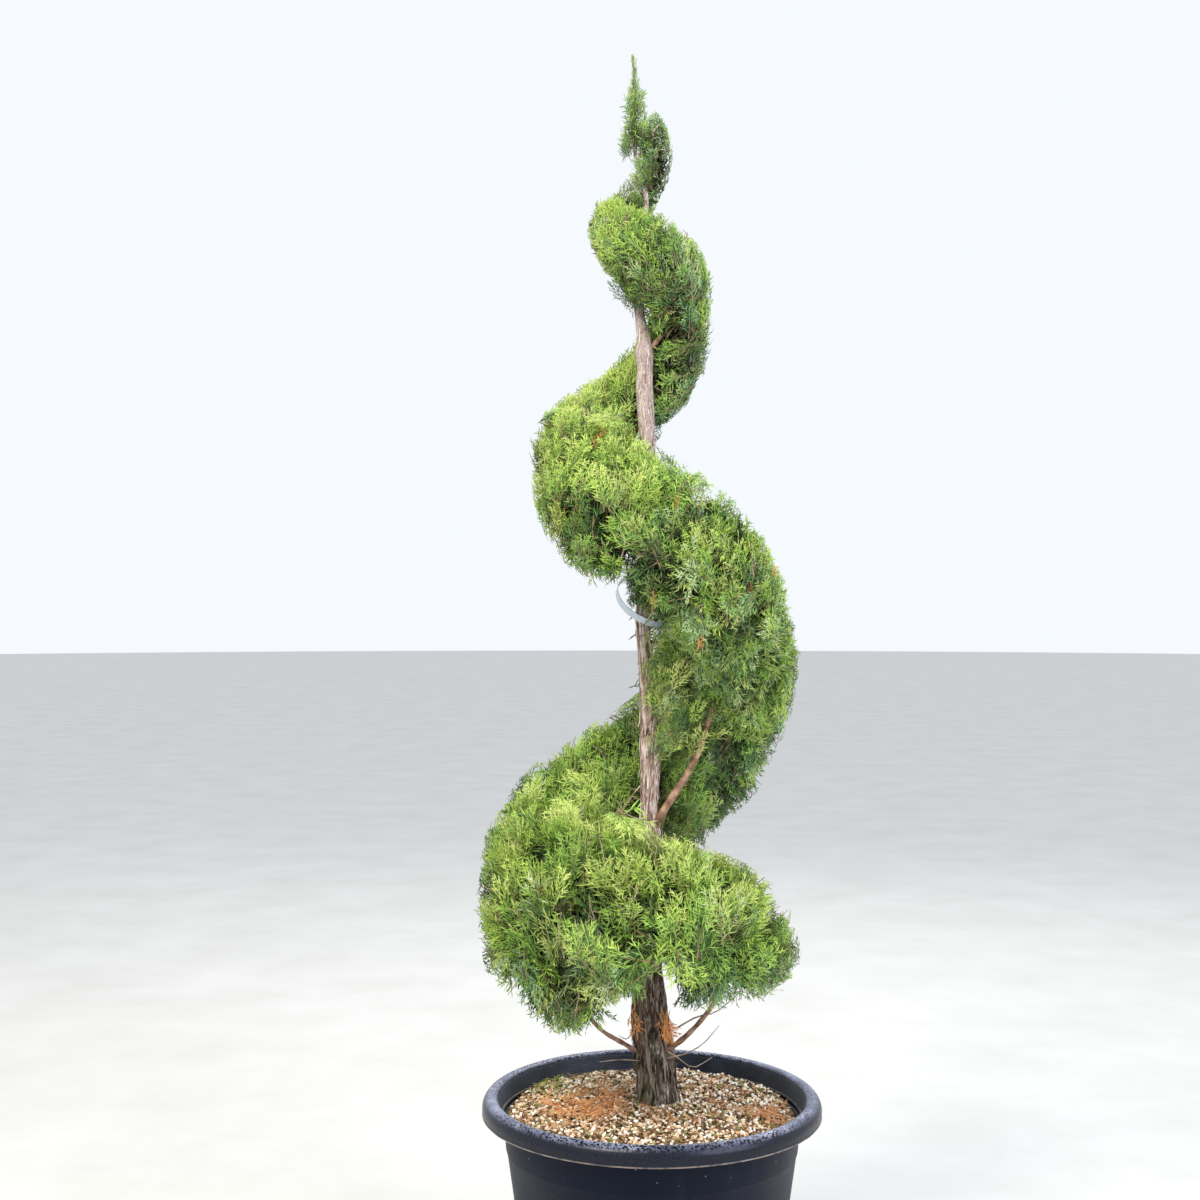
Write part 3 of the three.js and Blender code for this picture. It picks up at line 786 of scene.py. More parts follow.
def fan_template(rng, shoots, twigs, width, reach, steps, spread):
    """A spray one unit long, up its own Z, that fans out along X: a stem, shoots and the twigs on them.
    The steps are how much lighter its base, its middle and its tips are."""
    growth = Growth()
    bow = rng.uniform(-0.14, 0.14, 2)

    def stem(t):
        return np.array([bow[0] * t * t, bow[1] * t * t, t])

    stem_tints = (-1, -1, *steps[1:])
    for k, (low, high) in enumerate([(0, 0.32), (0.28, 0.6), (0.54, 0.82), (0.76, 1.0)]):
        growth.kite(stem(low), stem(high), width * (1.3 - 0.12 * k), BACK, stem_tints[k])
    for k in range(shoots):
        t = 0.12 + 0.72 * (k + rng.uniform(0.1, 0.9)) / shoots
        side = 1 if k % 2 else -1
        angle = rng.uniform(0.5, 0.95) * spread
        way = unit(np.array([side * math.sin(angle), rng.normal(0, 0.26), math.cos(angle)]))
        later = unit(way + UP * 0.3 + rng.normal(0, 0.12, 3))
        length = (0.5 - 0.3 * t) * rng.uniform(0.75, 1.15)
        base = stem(t)
        elbow = base + way * length * 0.5
        tip = elbow + later * length * 0.5
        fold = unit(BACK + rng.normal(0, 0.35, 3))
        growth.kite(base, elbow + way * length * 0.06, width, fold, steps[0])
        growth.kite(elbow, tip, width * 0.95, fold, steps[1 if t < 0.45 else 2])
        for j in range(twigs):
            s = 0.2 + 0.66 * (j + rng.uniform(0.2, 0.8)) / twigs
            at = base + (elbow - base) * min(s * 2, 1) + (tip - elbow) * max(s * 2 - 1, 0)
            aside = unit(np.cross(way, fold)) * (1 if j % 2 else -1)
            way_out = unit(later + aside * rng.uniform(0.5, 0.85) + rng.normal(0, 0.16, 3))
            end = at + way_out * reach * rng.uniform(0.7, 1.25) * (1.1 - 0.4 * t)
            twig_fold = unit(fold + rng.normal(0, 0.4, 3))
            growth.kite(at, end, width * 0.88, twig_fold, steps[1 if s + t < 0.8 else 2])
    return growth.shape()


shape_rng = np.random.default_rng(2)
fans = {
    name: [fan_template(shape_rng, *proportions) for _ in range(count)]
    for name, (count, *proportions) in FANS.items()
}


def blade_sizes(points):
    """The longest way across each blade, from its four corners."""
    corners = points.reshape(-1, 4, 3)
    pairs = ((0, 2), (1, 3), (0, 1), (2, 3))
    return np.max([np.linalg.norm(corners[:, i] - corners[:, j], axis=1) for i, j in pairs], axis=0)


def over_tag(points):
    """Which blades would cover the tag's end."""
    centre = points.reshape(-1, 4, 3).mean(axis=1) / MM
    away = (centre[:, [0, 2]] - TAG_END) / TAG_END_REACH
    return ((away**2).sum(axis=1) < 1) & (centre[:, 1] < TAG_END_FRONT)


def grow(templates, sprays, rng, rolled=0.5):
    """Places sprays with their tips at their points, and gives arrays for one mesh."""
    turns = frames_along(sprays.axis, sprays.normal, rng.normal(0, rolled, len(sprays.tip)))
    root = sprays.root()
    kind = rng.integers(0, len(templates), len(root))
    groups = []
    for k, (shape, tints, links) in enumerate(templates):
        chosen = np.nonzero(kind == k)[0]
        size = np.repeat(sprays.length[chosen][:, None], 3, axis=1)
        points, faces = scattered(shape, links, root[chosen], turns[chosen], size)
        whole = True
        if sprays.turn is not None:
            turn = sprays.turn[chosen]
            ragged = RAGGED_REACH * smoothstep(turn, 0.62, 0.8) * (1 - 0.62 * smoothstep(turn, 1.5, 2.3))
            past = np.maximum(SHEAR_REACH, ragged) * rng.uniform(0.12, 1, len(turn)) ** 1.4
            clipped = shear(points, np.repeat(turn, len(shape)), np.repeat(past, len(shape)))
            whole = blade_sizes(clipped) < blade_sizes(points) * 1.5 + 0.003
            points = clipped
        shown = np.repeat(whole & ~over_tag(points), 2)
        own = sprays.tint[chosen][:, None]
        level = np.clip(own % FAMILY_SIZE + tints, 0, FAMILY_SIZE - 1)
        slots = np.where(tints < 0, STEM, own // FAMILY_SIZE * FAMILY_SIZE + level)
        slots = np.where(own >= LEAF_DEAD, own, slots).ravel()
        groups.append((points, faces[shown], slots[shown]))
    return joined(*groups)


# The container
def spun(name, profile, steps, finishes):
    """A round piece: one point is drawn along the profile and the line is spun round the pot's axis."""
    piece = started(name, bpy.ops.mesh.primitive_plane_add, size=0.01)
    bpy.ops.object.mode_set(mode="EDIT")
    bpy.ops.mesh.select_all(action="SELECT")
    bpy.ops.mesh.merge(type="CENTER")
    (first_across, first_rise), *others = np.diff(np.array([[0, 0], *profile], float), axis=0) * MM
    bpy.ops.transform.translate(value=(first_across, 0, first_rise))
    for across, rise in others:
        bpy.ops.mesh.extrude_region_move(TRANSFORM_OT_translate={"value": (across, 0, rise)})
    bpy.ops.mesh.select_all(action="SELECT")
    bpy.ops.mesh.spin(steps=steps, angle=2 * math.pi, center=(0, 0, 0), axis=(0, 0, 1))
    bpy.ops.mesh.select_all(action="SELECT")
    bpy.ops.mesh.remove_doubles(threshold=0.00002)
    bpy.ops.mesh.normals_make_consistent(inside=False)
    bpy.ops.object.mode_set(mode="OBJECT")
    for finish in finishes:
        piece.data.materials.append(finish)
    return piece


def arc(centre, radii, start, end, count):
    """Points of a profile on part of an ellipse, with its angles in degrees."""
    angles = np.radians(np.linspace(start, end, count))
    return [[centre[0] + radii[0] * math.cos(a), centre[1] + radii[1] * math.sin(a)] for a in angles]


def pot_profile():
    """The pot's section from the middle of its foot, up the outside, over the rim and down to its floor."""
    ribs = []
    for k in range(COLLAR_RIBS):
        radius = COLLAR_RADIUS - k * COLLAR_STEPS[0]
        height = COLLAR_HEIGHT - k * COLLAR_STEPS[1]
        ribs += [[radius, height], [radius - 0.7, height - 0.9], [radius - 0.1, height - 2.2]]
    return [
        [0, 3],
        [FOOT_RADIUS - 24, 3],
        [FOOT_RADIUS - 20, 0],
        [FOOT_RADIUS - 6, 0],
        [FOOT_RADIUS - 2, 1.5],
        [FOOT_RADIUS - 0.8, 5],
        [FOOT_RADIUS, FOOT_HEIGHT - 3],
        [FOOT_RADIUS + 0.4, FOOT_HEIGHT - 1.6],
        [FOOT_RADIUS + 2.2, FOOT_HEIGHT - 0.4],
        [FOOT_RADIUS + 2.6, FOOT_HEIGHT + 1],
        [FOOT_RADIUS + 11, 110],
        [FOOT_RADIUS + 20.5, 190],
        [FOOT_RADIUS + 30.5, 272],
        [NECK_RADIUS - 6.4, BAND_HEIGHT - 2.4],
        [NECK_RADIUS - 5, BAND_HEIGHT - 0.6],
        [NECK_RADIUS - 4.4, BAND_HEIGHT + 1.6],
        [NECK_RADIUS - 1.6, 388],
        [NECK_RADIUS, RIM_FOOT - 1],
        [NECK_RADIUS + 1.6, RIM_FOOT + 0.6],
        [RIM_RADIUS - 4, RIM_FOOT + 0.6],
        [RIM_RADIUS - 1.4, RIM_FOOT + 1.4],
        [RIM_RADIUS - 0.2, RIM_FOOT + 3],
        [RIM_RADIUS - 0.9, RIM_FOOT + 4.6],
        *arc((RIM_RADIUS - 17, POT_HEIGHT - 21), (16.6, 21), -12, 92, 12),
        *arc((RIM_RADIUS - 18, POT_HEIGHT - 8), (11, 8), 95, 178, 6),
        *ribs,
        [NECK_RADIUS + 3.4, LEDGE_HEIGHT + 1.5],
        [NECK_RADIUS + 2.2, LEDGE_HEIGHT],
        [NECK_RADIUS - WALL - 0.5, LEDGE_HEIGHT - 2],
        [FOOT_RADIUS - WALL, WALL + 2],
        [0, WALL + 2],
    ]


def make_pot():
    pot = spun("pot_shell", pot_profile(), 160, [plastic, rim_plastic, collar_plastic])
    for k in range(DRAIN_HOLES):
        angle = k * 2 * math.pi / DRAIN_HOLES - math.pi / 2
        place = circle(angle) * (FOOT_RADIUS * MM) + UP * DRAIN_HEIGHT * MM
        cube = bpy.ops.mesh.primitive_cube_add
        cutter = started("drain_cutter", cube, size=1, location=tuple(place), rotation=(0, 0, angle))
        cutter.scale = np.array(DRAIN_SIZE) * MM
        settle(cutter)
        cut = pot.modifiers.new("drain", "BOOLEAN")
        cut.operation = "DIFFERENCE"
        cut.solver = "EXACT"
        cut.object = cutter
        apply_modifiers(pot)
        bpy.data.objects.remove(cutter)
    centres = places_of(pot.data.polygons, "center") / MM
    out = np.hypot(centres[:, 0], centres[:, 1])
    on_rim = (centres[:, 2] > RIM_FOOT) & (out > RIM_INSIDE)
    on_collar = (centres[:, 2] > LEDGE_HEIGHT) & (out > COLLAR_INSIDE) & (out <= RIM_INSIDE)
    pot.data.polygons.foreach_set("material_index", (on_rim + 2 * on_collar).astype(np.int32))
    lone(pot)
    bpy.ops.object.shade_smooth_by_angle(angle=math.radians(38))
    dress(pot, "pot_plastic", "pot")


def mix_height(x, y):
    """The height of the mix's surface, in metres, at a place in metres."""
    radius = np.hypot(x, y)
    fall = np.clip(1 - (radius - MIX_MIDDLE * MM) / (MIX_SLOPE * MM), 0, 1)
    dome = (MIX_EDGE + MIX_RISE * np.sqrt(fall)) * MM
    at = np.stack([x, y, np.zeros_like(x)], axis=-1)
    lumps = (value_noise(at * 16, 3) - 0.5) * 0.012 + (value_noise(at * 55, 4) - 0.5) * 0.005
    return dome + lumps * smoothstep(radius, 0.03, 0.09)


def make_mix():
    """The mix: a square grid drawn into a disc and raised, then its edge extruded down and closed."""
    grid = bpy.ops.mesh.primitive_grid_add
    bed = started("compost_bed", grid, x_subdivisions=110, y_subdivisions=110, size=2)
    at = places_of(bed.data.vertices, "co")
    across = np.abs(at[:, :2]).max(axis=1)
    away = np.hypot(at[:, 0], at[:, 1])
    at[:, :2] *= (across / np.maximum(away, 1e-6))[:, None] * (MIX_RADIUS * MM)
    at[:, 2] = mix_height(at[:, 0], at[:, 1])
    bed.data.vertices.foreach_set("co", at.ravel())
    bed.data.materials.append(compost)
    lone(bed)
    bpy.ops.object.mode_set(mode="EDIT")
    bpy.ops.mesh.select_all(action="DESELECT")
    bpy.ops.mesh.select_mode(type="EDGE")
    bpy.ops.mesh.select_non_manifold()
    bpy.ops.mesh.extrude_region_move(TRANSFORM_OT_translate={"value": (0, 0, -MIX_EDGE * MM)})
    bpy.ops.transform.resize(
        value=(MIX_FLOOR_SHARE, MIX_FLOOR_SHARE, 0), center_override=(0, 0, MIX_FLOOR * MM)
    )
    bpy.ops.mesh.edge_face_add()
    bpy.ops.mesh.select_all(action="SELECT")
    bpy.ops.mesh.normals_make_consistent(inside=False)
    bpy.ops.object.mode_set(mode="OBJECT")
    bpy.ops.object.shade_smooth_by_angle(angle=math.radians(60))
    dress(bed, "potting_mix", "potting_mix")


def random_turns(rng, count, tilt):
    """Rotations: a free turn about the vertical, then a random lean, about so many radians, to any side."""
    spin = rng.uniform(0, 2 * math.pi, count)
    lean = rng.normal(0, 1, count) * tilt
    axis = rng.uniform(0, 2 * math.pi, count)
    none, whole = np.zeros(count), np.ones(count)
    c, s = np.cos(spin), np.sin(spin)
    spun_round = [[c, -s, none], [s, c, none], [none, none, whole]]
    x, y = np.cos(axis), np.sin(axis)
    c, s = np.cos(lean), np.sin(lean)
    leaning = [
        [c + x * x * (1 - c), x * y * (1 - c), y * s],
        [x * y * (1 - c), c + y * y * (1 - c), -x * s],
        [-y * s, x * s, c],
    ]
    return np.moveaxis(leaning, -1, 0) @ np.moveaxis(spun_round, -1, 0)


def lump_template(rng):
    """A rough grain, one unit across: a ball of twenty faces with its corners moved."""
    ball = started("lump", bpy.ops.mesh.primitive_ico_sphere_add, subdivisions=1, radius=0.5)
    points = places_of(ball.data.vertices, "co")
    faces = np.array([face.vertices[:] for face in ball.data.polygons])
    bpy.data.objects.remove(ball)
    return points * rng.uniform(0.78, 1.18, (len(points), 1)), faces


def make_grains():
    """Perlite, bark chips and crumbs, strewn over the mix."""
    rng = np.random.default_rng(11)
    for name, (count, tints, (small, large), shares, tilt) in GRAINS.items():
        share = count // GRAIN_SHAPES
        groups = []
        for _ in range(GRAIN_SHAPES):
            shape, links = lump_template(rng)
            radius = np.sqrt(rng.uniform(0, GRAIN_REACH**2, share))
            place = circle(rng.uniform(0, 2 * math.pi, share)) * radius[:, None]
            size = rng.uniform(small, large, share)
            raised = size * rng.uniform(-0.1, 0.4, share) * shares[2]
            place[:, 2] = mix_height(place[:, 0], place[:, 1]) + raised
            sizes = size[:, None] * np.array(shares) * rng.uniform(0.75, 1.25, (share, 3))
            points, faces = scattered(shape, links, place, random_turns(rng, share, tilt), sizes)
            groups.append((points, faces, np.repeat(rng.integers(0, len(tints), share), len(links))))
        points, faces, slots = joined(*groups)
        finishes = [plain_finish(f"{name}_{k}", tint) for k, tint in enumerate(tints)]
        dress(mesh_piece(name, points, faces, finishes, slots), "potting_mix")


def make_clippings():
    """Dry clippings that lie on the mix in drifts, with a little moss at the edge."""
    rng = np.random.default_rng(21)
    for name, (x, y, reach, count, tints) in CLIPPINGS.items():
        at_x = x + rng.normal(0, reach * 0.5, count)
        at_y = y + rng.normal(0, reach * 0.5, count)
        away = np.hypot(at_x, at_y)
        scale = np.minimum(1, CLIPPINGS_FARTHEST / away)
        keep = away * scale > CLIPPINGS_CLOSEST
        at_x, at_y = (at_x * scale)[keep], (at_y * scale)[keep]
        lie = rng.uniform(0, 2 * math.pi, len(at_x))
        axis = unit(circle(lie) + UP * rng.uniform(-0.05, 0.3, (len(at_x), 1)))
        length = rng.uniform(0.022, 0.048, len(at_x))
        height = mix_height(at_x, at_y) + rng.uniform(0.003, 0.008, len(at_x))
        middle = np.stack([at_x, at_y, height], axis=-1)
        tip = middle + axis * length[:, None] * 0.5
        points, faces, _ = grow(fans["dead"], Sprays(tip, axis, UP, length, np.zeros(len(tip), int)), rng)
        slots = np.repeat(rng.integers(0, 3, len(faces) // 2), 2)
        finishes = [plain_finish(f"{name}_{k}", tint, 0.85) for k, tint in enumerate(tints)]
        dress(mesh_piece(name, points, faces, finishes, slots), "potting_mix")


# Bark and limbs
def limb(name, centre_line, radius_at, sides, rings, relief, finish):
    """A limb with bark relief: a grid rolled round its centre line, its seam and its ends closed."""
    grid = bpy.ops.mesh.primitive_grid_add
    piece = started(name, grid, x_subdivisions=sides, y_subdivisions=rings, size=2)
    flat = places_of(piece.data.vertices, "co")
    share = (flat[:, 1] + 1) / 2
    angle = np.round((flat[:, 0] + 1) / 2 * sides) % sides * 2 * math.pi / sides
    centre, across, over = centre_line(share)
    radius = radius_at(share, angle)
    length = np.linalg.norm(np.diff(centre_line(np.linspace(0, 1, 20))[0], axis=0), axis=1).sum()
    radius = radius + bark_relief(angle, share * length, radius) * relief
    points = centre + (across * np.cos(angle)[:, None] + over * np.sin(angle)[:, None]) * radius[:, None]
    piece.data.vertices.foreach_set("co", points.ravel())
    lone(piece)
    bpy.ops.object.mode_set(mode="EDIT")
    bpy.ops.mesh.select_all(action="SELECT")
    bpy.ops.mesh.remove_doubles(threshold=0.00001)
    bpy.ops.mesh.select_all(action="DESELECT")
    bpy.ops.mesh.select_mode(type="EDGE")
    bpy.ops.mesh.select_non_manifold()
    bpy.ops.mesh.fill_holes(sides=0)
    bpy.ops.mesh.select_all(action="SELECT")
    bpy.ops.mesh.normals_make_consistent(inside=False)
    bpy.ops.object.mode_set(mode="OBJECT")
    bpy.ops.object.shade_smooth_by_angle(angle=math.radians(50))
    piece.data.materials.append(finish)
    return piece


def bark_relief(angle, along, radius):
    """Fibrous ridges that run up the limb, and scales between them, in metres."""
    around = np.stack([np.cos(angle), np.sin(angle)], axis=-1)
    rope = np.concatenate([around * 2.3, (along * 4.5)[:, None]], axis=1)
    strand = np.concatenate([around * 5.5, (along * 9)[:, None]], axis=1)
    fibre = np.concatenate([around * 13, (along * 26)[:, None]], axis=1)
    scale = np.concatenate([around * 9, (along * 95)[:, None]], axis=1)
    deep = np.abs(value_noise(strand, 21) - 0.5) * 2
    total = (value_noise(rope, 20) - 0.5) * 0.16 + (deep - 0.35) * 0.16
    total += (value_noise(fibre, 22) - 0.5) * 0.2 + (value_noise(scale, 23) - 0.5) * 0.1
    smoother_above = 1 - 0.75 * smoothstep(along, 0.75, 1.05)
    return total * smoother_above * np.minimum(radius, 0.028) ** 2 / 0.028


def trunk_line(share):
    heights = TRUNK_FOOT + TRUNK_LENGTH * share
    rows = row_at(TRUNK, heights)
    return np.stack([rows[:, 1], rows[:, 2], heights], axis=-1) * MM, RIGHT, BACK


def trunk_radius(share, angle):
    """The trunk's radius, with the ridges of its foot and its knots."""
    heights = TRUNK_FOOT + TRUNK_LENGTH * share
    ridge = np.cos(3 * angle + 0.6) + 0.6 * np.cos(5 * angle + 2)
    fade = 1 - 0.75 * smoothstep(share, 0.02, 0.3)
    knots = 1.0
    for height, bulge in KNOTS:
        knots = knots + bulge * np.exp(-(((heights - height) / KNOT_LENGTH) ** 2))
    return row_at(TRUNK, heights)[:, 3] * (1 + ridge * 0.09 * fade) * knots * MM * 0.96


def trunk_surface(height, angle):
    """At heights in millimetres and angles round the trunk: its middle, the way out and its radius."""
    share = (height - TRUNK_FOOT) / TRUNK_LENGTH
    radius = trunk_radius(share, angle)
    radius = radius + bark_relief(angle, share * (TRUNK_LENGTH * MM), radius)
    return trunk_line(share)[0], circle(angle), radius


def trunk_spot(height):
    """The middle of the trunk at one height, and its radius there, in metres."""
    row = row_at(TRUNK, np.clip(height / MM, TRUNK_FOOT, TRUNK_TOP))[0]
    return np.array([row[1], row[2], 0]) * MM + UP * height, row[3] * MM


def make_strips():
    """Strips of bark that lie along the trunk and peel at one end."""
    rng = np.random.default_rng(17)
    low = np.concatenate([rng.uniform(start, end, count) for start, end, count in STRIPS])
    count = len(low)
    above = low > 1500
    long = rng.uniform(22, 85, count) * np.where(above, 0.5, 1)
    angle = rng.uniform(0, 2 * math.pi, count)
    drift = rng.normal(0, 0.12, count)
    wide = rng.uniform(1.6, 4.6, count) * MM * np.where(above, 0.6, 1)
    peel = np.where(rng.uniform(0, 1, count) < 0.4, rng.uniform(1.5, 6, count), 0.4) * MM
    upward = rng.uniform(0, 1, count) < 0.5
    edges = []
    for s in np.linspace(0, 1, STRIP_STEPS):
        height = low + long * np.where(upward, s, 1 - s)
        centre, out, radius = trunk_surface(height, angle + drift * s)
        side = np.stack([-out[:, 1], out[:, 0], np.zeros(count)], axis=-1)
        lift = radius + 0.0006 + peel * max(0, (s - 0.55) / 0.45) ** 2
        half = wide * 0.5 * math.sin(math.pi * (0.12 + 0.8 * s)) ** 0.5
        middle = centre + out * lift[:, None]
        edges += [middle - side * half[:, None], middle + side * half[:, None]]
    links = np.array([[2 * k, 2 * k + 1, 2 * k + 3, 2 * k + 2] for k in range(STRIP_STEPS - 1)])
    faces = (links + (np.arange(count) * 2 * STRIP_STEPS)[:, None, None]).reshape(-1, 4)
    at_foot = low < STRIPS[0][1]
    tint = np.where(at_foot, rng.integers(2, 5, count), rng.integers(0, 3, count))
    tint = np.where(above, rng.choice(3, count, p=[0.6, 0.33, 0.07]), tint)
    finishes = [strip_material(f"strip_{k}", code) for k, code in enumerate(STRIP_TINTS)]
    points = np.stack(edges, axis=1).reshape(-1, 3)
    slots = np.repeat(tint, len(links))
    dress(mesh_piece("bark_strips", points, faces, finishes, slots, smooth=True), "bark")


def bough_taper(foot, tip):
    """The radius along a bough, with a flare at its foot and lumps on the way."""

    def radius(share, angle):
        flare = 1 + 0.35 * np.exp(-share * 14)
        lumps = 1 + 0.12 * np.sin(share * 31 + foot) * np.sin(share * 13)
        return (foot + (tip - foot) * share) * flare * lumps * MM

    return radius


def stem_taper(share, angle):
    foot, tip = SIDE_STEM[1]
    return (foot + (tip - foot) * share) * MM


def make_limbs():
    """The trunk, the boughs that show and the slim stem beside the trunk."""
    dress(limb("trunk_bark", trunk_line, trunk_radius, 110, 620, 1.0, bark), "bark", "trunk")
    for name, (path, radii) in BOUGHS.items():
        piece = limb(f"bough_{name}_bark", curve_line(path), bough_taper(*radii), 28, 90, 1.3, bough_bark)
        dress(piece, "bark", f"bough_{name}")
    dress(limb("side_stem", curve_line(SIDE_STEM[0]), stem_taper, 14, 60, 1.0, bark), "bark")


def make_foot_twigs():
    """The bare twigs on the trunk, each in seven lengths."""
    starts, ends, thick, thin = [], [], [], []
    for route, size in FOOT_TWIGS:
        line = curve_line(route)(np.linspace(0, 1, 8))[0]
        sizes = np.linspace(size, size * 0.45, 8) * MM
        starts += [*line[:-1]]
        ends += [*line[1:]]
        thick += [*sizes[:-1]]
        thin += [*sizes[1:]]
    make_twigs("foot_twigs", pale_twig, *(np.array(rows) for rows in (starts, ends, thick, thin)))


# The ribbon of foliage
def ribbon_axis(turn):
    return row_at(RIBBON, turn)[:, 1] * MM


def ribbon_angle(turn):
    return -math.pi / 2 - turn * 2 * math.pi


def ribbon_place(turn, radius, height):
    angle = ribbon_angle(turn)
    return np.stack([ribbon_axis(turn) + radius * np.cos(angle), radius * np.sin(angle), height], axis=-1)


def ribbon_section(turn):
    """The section's corners and its middle at each turn: distance out and height, in metres."""
    rows = row_at(RIBBON, turn)
    rise = smoothstep(turn, DROOP_ENDS, RISE_BEGINS)[:, None, None]
    shares = np.array(DROOPING) * (1 - rise) + np.array(RISING) * rise
    low = np.stack([np.zeros(len(rows)), rows[:, 3]], axis=-1)[:, None]
    size = np.stack([rows[:, 2], rows[:, 4] - rows[:, 3]], axis=-1)[:, None]
    return (low + shares * size) * MM, (low + size * SECTION_MIDDLE)[:, 0] * MM


def ribbon_point(turn, place, shrink=0.0):
    """Points on the clipped outline, or that far inside it, by turns climbed and share round the section."""
    turn = np.atleast_1d(turn).astype(float)
    place = np.atleast_1d(place) % 1
    corners, middle = ribbon_section(turn)
    count = corners.shape[1]
    corner = np.floor(place * count).astype(int) % count
    part = (place * count - np.floor(place * count))[:, None]
    row = np.arange(len(turn))
    reach = corners[row, corner] * (1 - part) + corners[row, (corner + 1) % count] * part - middle
    away = np.linalg.norm(reach, axis=1)
    scale = np.maximum(0.12, 1 - shrink / np.maximum(away, 1e-6))
    spot = middle + reach * scale[:, None]
    return ribbon_place(turn, spot[:, 0], spot[:, 1])


def turns_near(points, turn):
    """The turn that each point lies at, beside a turn that is known to be close."""
    angle = np.arctan2(points[:, 1], points[:, 0] - ribbon_axis(turn))
    exact = (-math.pi / 2 - angle) / (2 * math.pi)
    return turn + (exact - turn + 0.5) % 1 - 0.5


def depth_ratio(points, turn):
    """How far out each point lies in its section, 1 on the outline, then its turn, middle and offset."""
    at = np.clip(turns_near(points, turn), FIRST_TURN, RIBBON_END)
    corners, middle = ribbon_section(at)
    out = np.hypot(points[:, 0] - ribbon_axis(at), points[:, 1])
    offset = np.stack([out, points[:, 2]], axis=-1) - middle
    start = corners - middle[:, None]
    edge = np.roll(start, -1, axis=1) - start
    across = offset[:, None, 0] * edge[..., 1] - offset[:, None, 1] * edge[..., 0]
    across = np.where(np.abs(across) < 1e-12, 1e-12, across)
    scale = (start[..., 0] * edge[..., 1] - start[..., 1] * edge[..., 0]) / across
    along = (start[..., 0] * offset[:, None, 1] - start[..., 1] * offset[:, None, 0]) / across
    met = (scale > 0) & (along >= -1e-6) & (along <= 1 + 1e-6)
    scale = np.where(met, scale, np.inf).min(axis=1)
    return 1 / scale, at, middle, offset


def shear(points, turn, past):
    """Draws in what stands out of the clipped outline, so that tips end only so far past it."""
    ratio, at, middle, offset = depth_ratio(points, turn)
    size = np.linalg.norm(offset, axis=1)
    away_from_trunk = smoothstep((middle + offset)[:, 0] / middle[:, 0], 0.45, 0.7)
    away_from_trunk *= smoothstep(np.abs(turns_near(points, turn) - turn), 0.22, 0.14)
    excess = np.clip(size * (1 - 1 / np.maximum(ratio, 1e-6)), 0, None) * away_from_trunk
    kept = past * (1 - np.exp(-excess / past))
    scale = np.where(excess > 0, (size - excess + kept) / np.maximum(size, 1e-6), 1)
    spot = middle + offset * scale[:, None]
    sheared = ribbon_place(turns_near(points, turn), spot[:, 0], spot[:, 1])
    return np.where((excess > 0)[:, None], sheared, points)


def ribbon_middle(turn):
    rows = row_at(RIBBON, turn)
    height = rows[:, 3] + (rows[:, 4] - rows[:, 3]) * SECTION_MIDDLE
    return ribbon_place(turn, rows[:, 2] * SECTION_MIDDLE * MM, height * MM)


def climb_direction(turn):
    angle = ribbon_angle(turn)
    return np.stack([np.sin(angle), -np.cos(angle), np.zeros_like(angle)], axis=-1)


def ribbon_normal(turn, place):
    """The way out of the outline, leaning a little away from the section's middle."""
    turn_step = 0.012
    place_step = 0.035
    along = ribbon_point(turn + turn_step, place) - ribbon_point(turn - turn_step, place)
    round_it = ribbon_point(turn, place + place_step) - ribbon_point(turn, place - place_step)
    normal = unit(np.cross(along, round_it))
    outward = unit(ribbon_point(turn, place) - ribbon_middle(turn))
    flip = np.sign((normal * outward).sum(axis=1, keepdims=True))
    return unit(normal * flip + outward * 0.35)


def spray_length(turn):
    """Sprays are long on the wide low turn and short at the top, in metres."""
    return 0.046 + 0.14 * row_at(RIBBON, turn)[:, 2] * MM + 0.014 * smoothstep(turn, 0.45, 0)


def spread_over_ribbon(count, rng):
    """Even places over the ribbon's outline, denser where the sprays are short."""
    turns = np.linspace(FIRST_TURN, RIBBON_END, 400)
    places = np.linspace(0, 1, 61)
    turn_grid, place_grid = np.meshgrid(turns, places, indexing="ij")
    points = ribbon_point(turn_grid.ravel(), place_grid.ravel()).reshape(len(turns), len(places), 3)
    along = points[1:, :-1] - points[:-1, :-1]
    round_it = points[:-1, 1:] - points[:-1, :-1]
    area = np.linalg.norm(np.cross(along, round_it), axis=-1)
    weight = area / spray_length(turns[:-1])[:, None] ** 2
    facing_trunk = (places[:-1] > 0.86) | (places[:-1] < 0.04)
    weight[:, facing_trunk] *= 0.7
    weight[turns[:-1] > 2.38] *= 0.46
    total = np.cumsum(weight.ravel())
    at = (np.arange(count) + rng.uniform(0, 1, count)) / count * total[-1]
    row, column = np.divmod(np.minimum(np.searchsorted(total, at), weight.size - 1), weight.shape[1])
    turn = turns[row] + rng.uniform(0, 1, count) * (turns[1] - turns[0])
    place = places[column] + rng.uniform(0, 1, count) / weight.shape[1]
    return turn, place


# The tag
def tag_matrix():
    tilt = Matrix.Rotation(math.radians(TAG_TILT), 4, "Y")
    turn = Matrix.Rotation(math.radians(TAG_TURN), 4, "Z")
    return Matrix.Translation(np.array(TAG_CENTRE) * MM) @ turn @ tilt


def tag_line(share):
    """The middle line of the tag's strip."""
    matrix = np.array(tag_matrix())
    return circle(share * 2 * math.pi) * TAG_RADIUS * MM @ matrix[:3, :3].T + matrix[:3, 3]


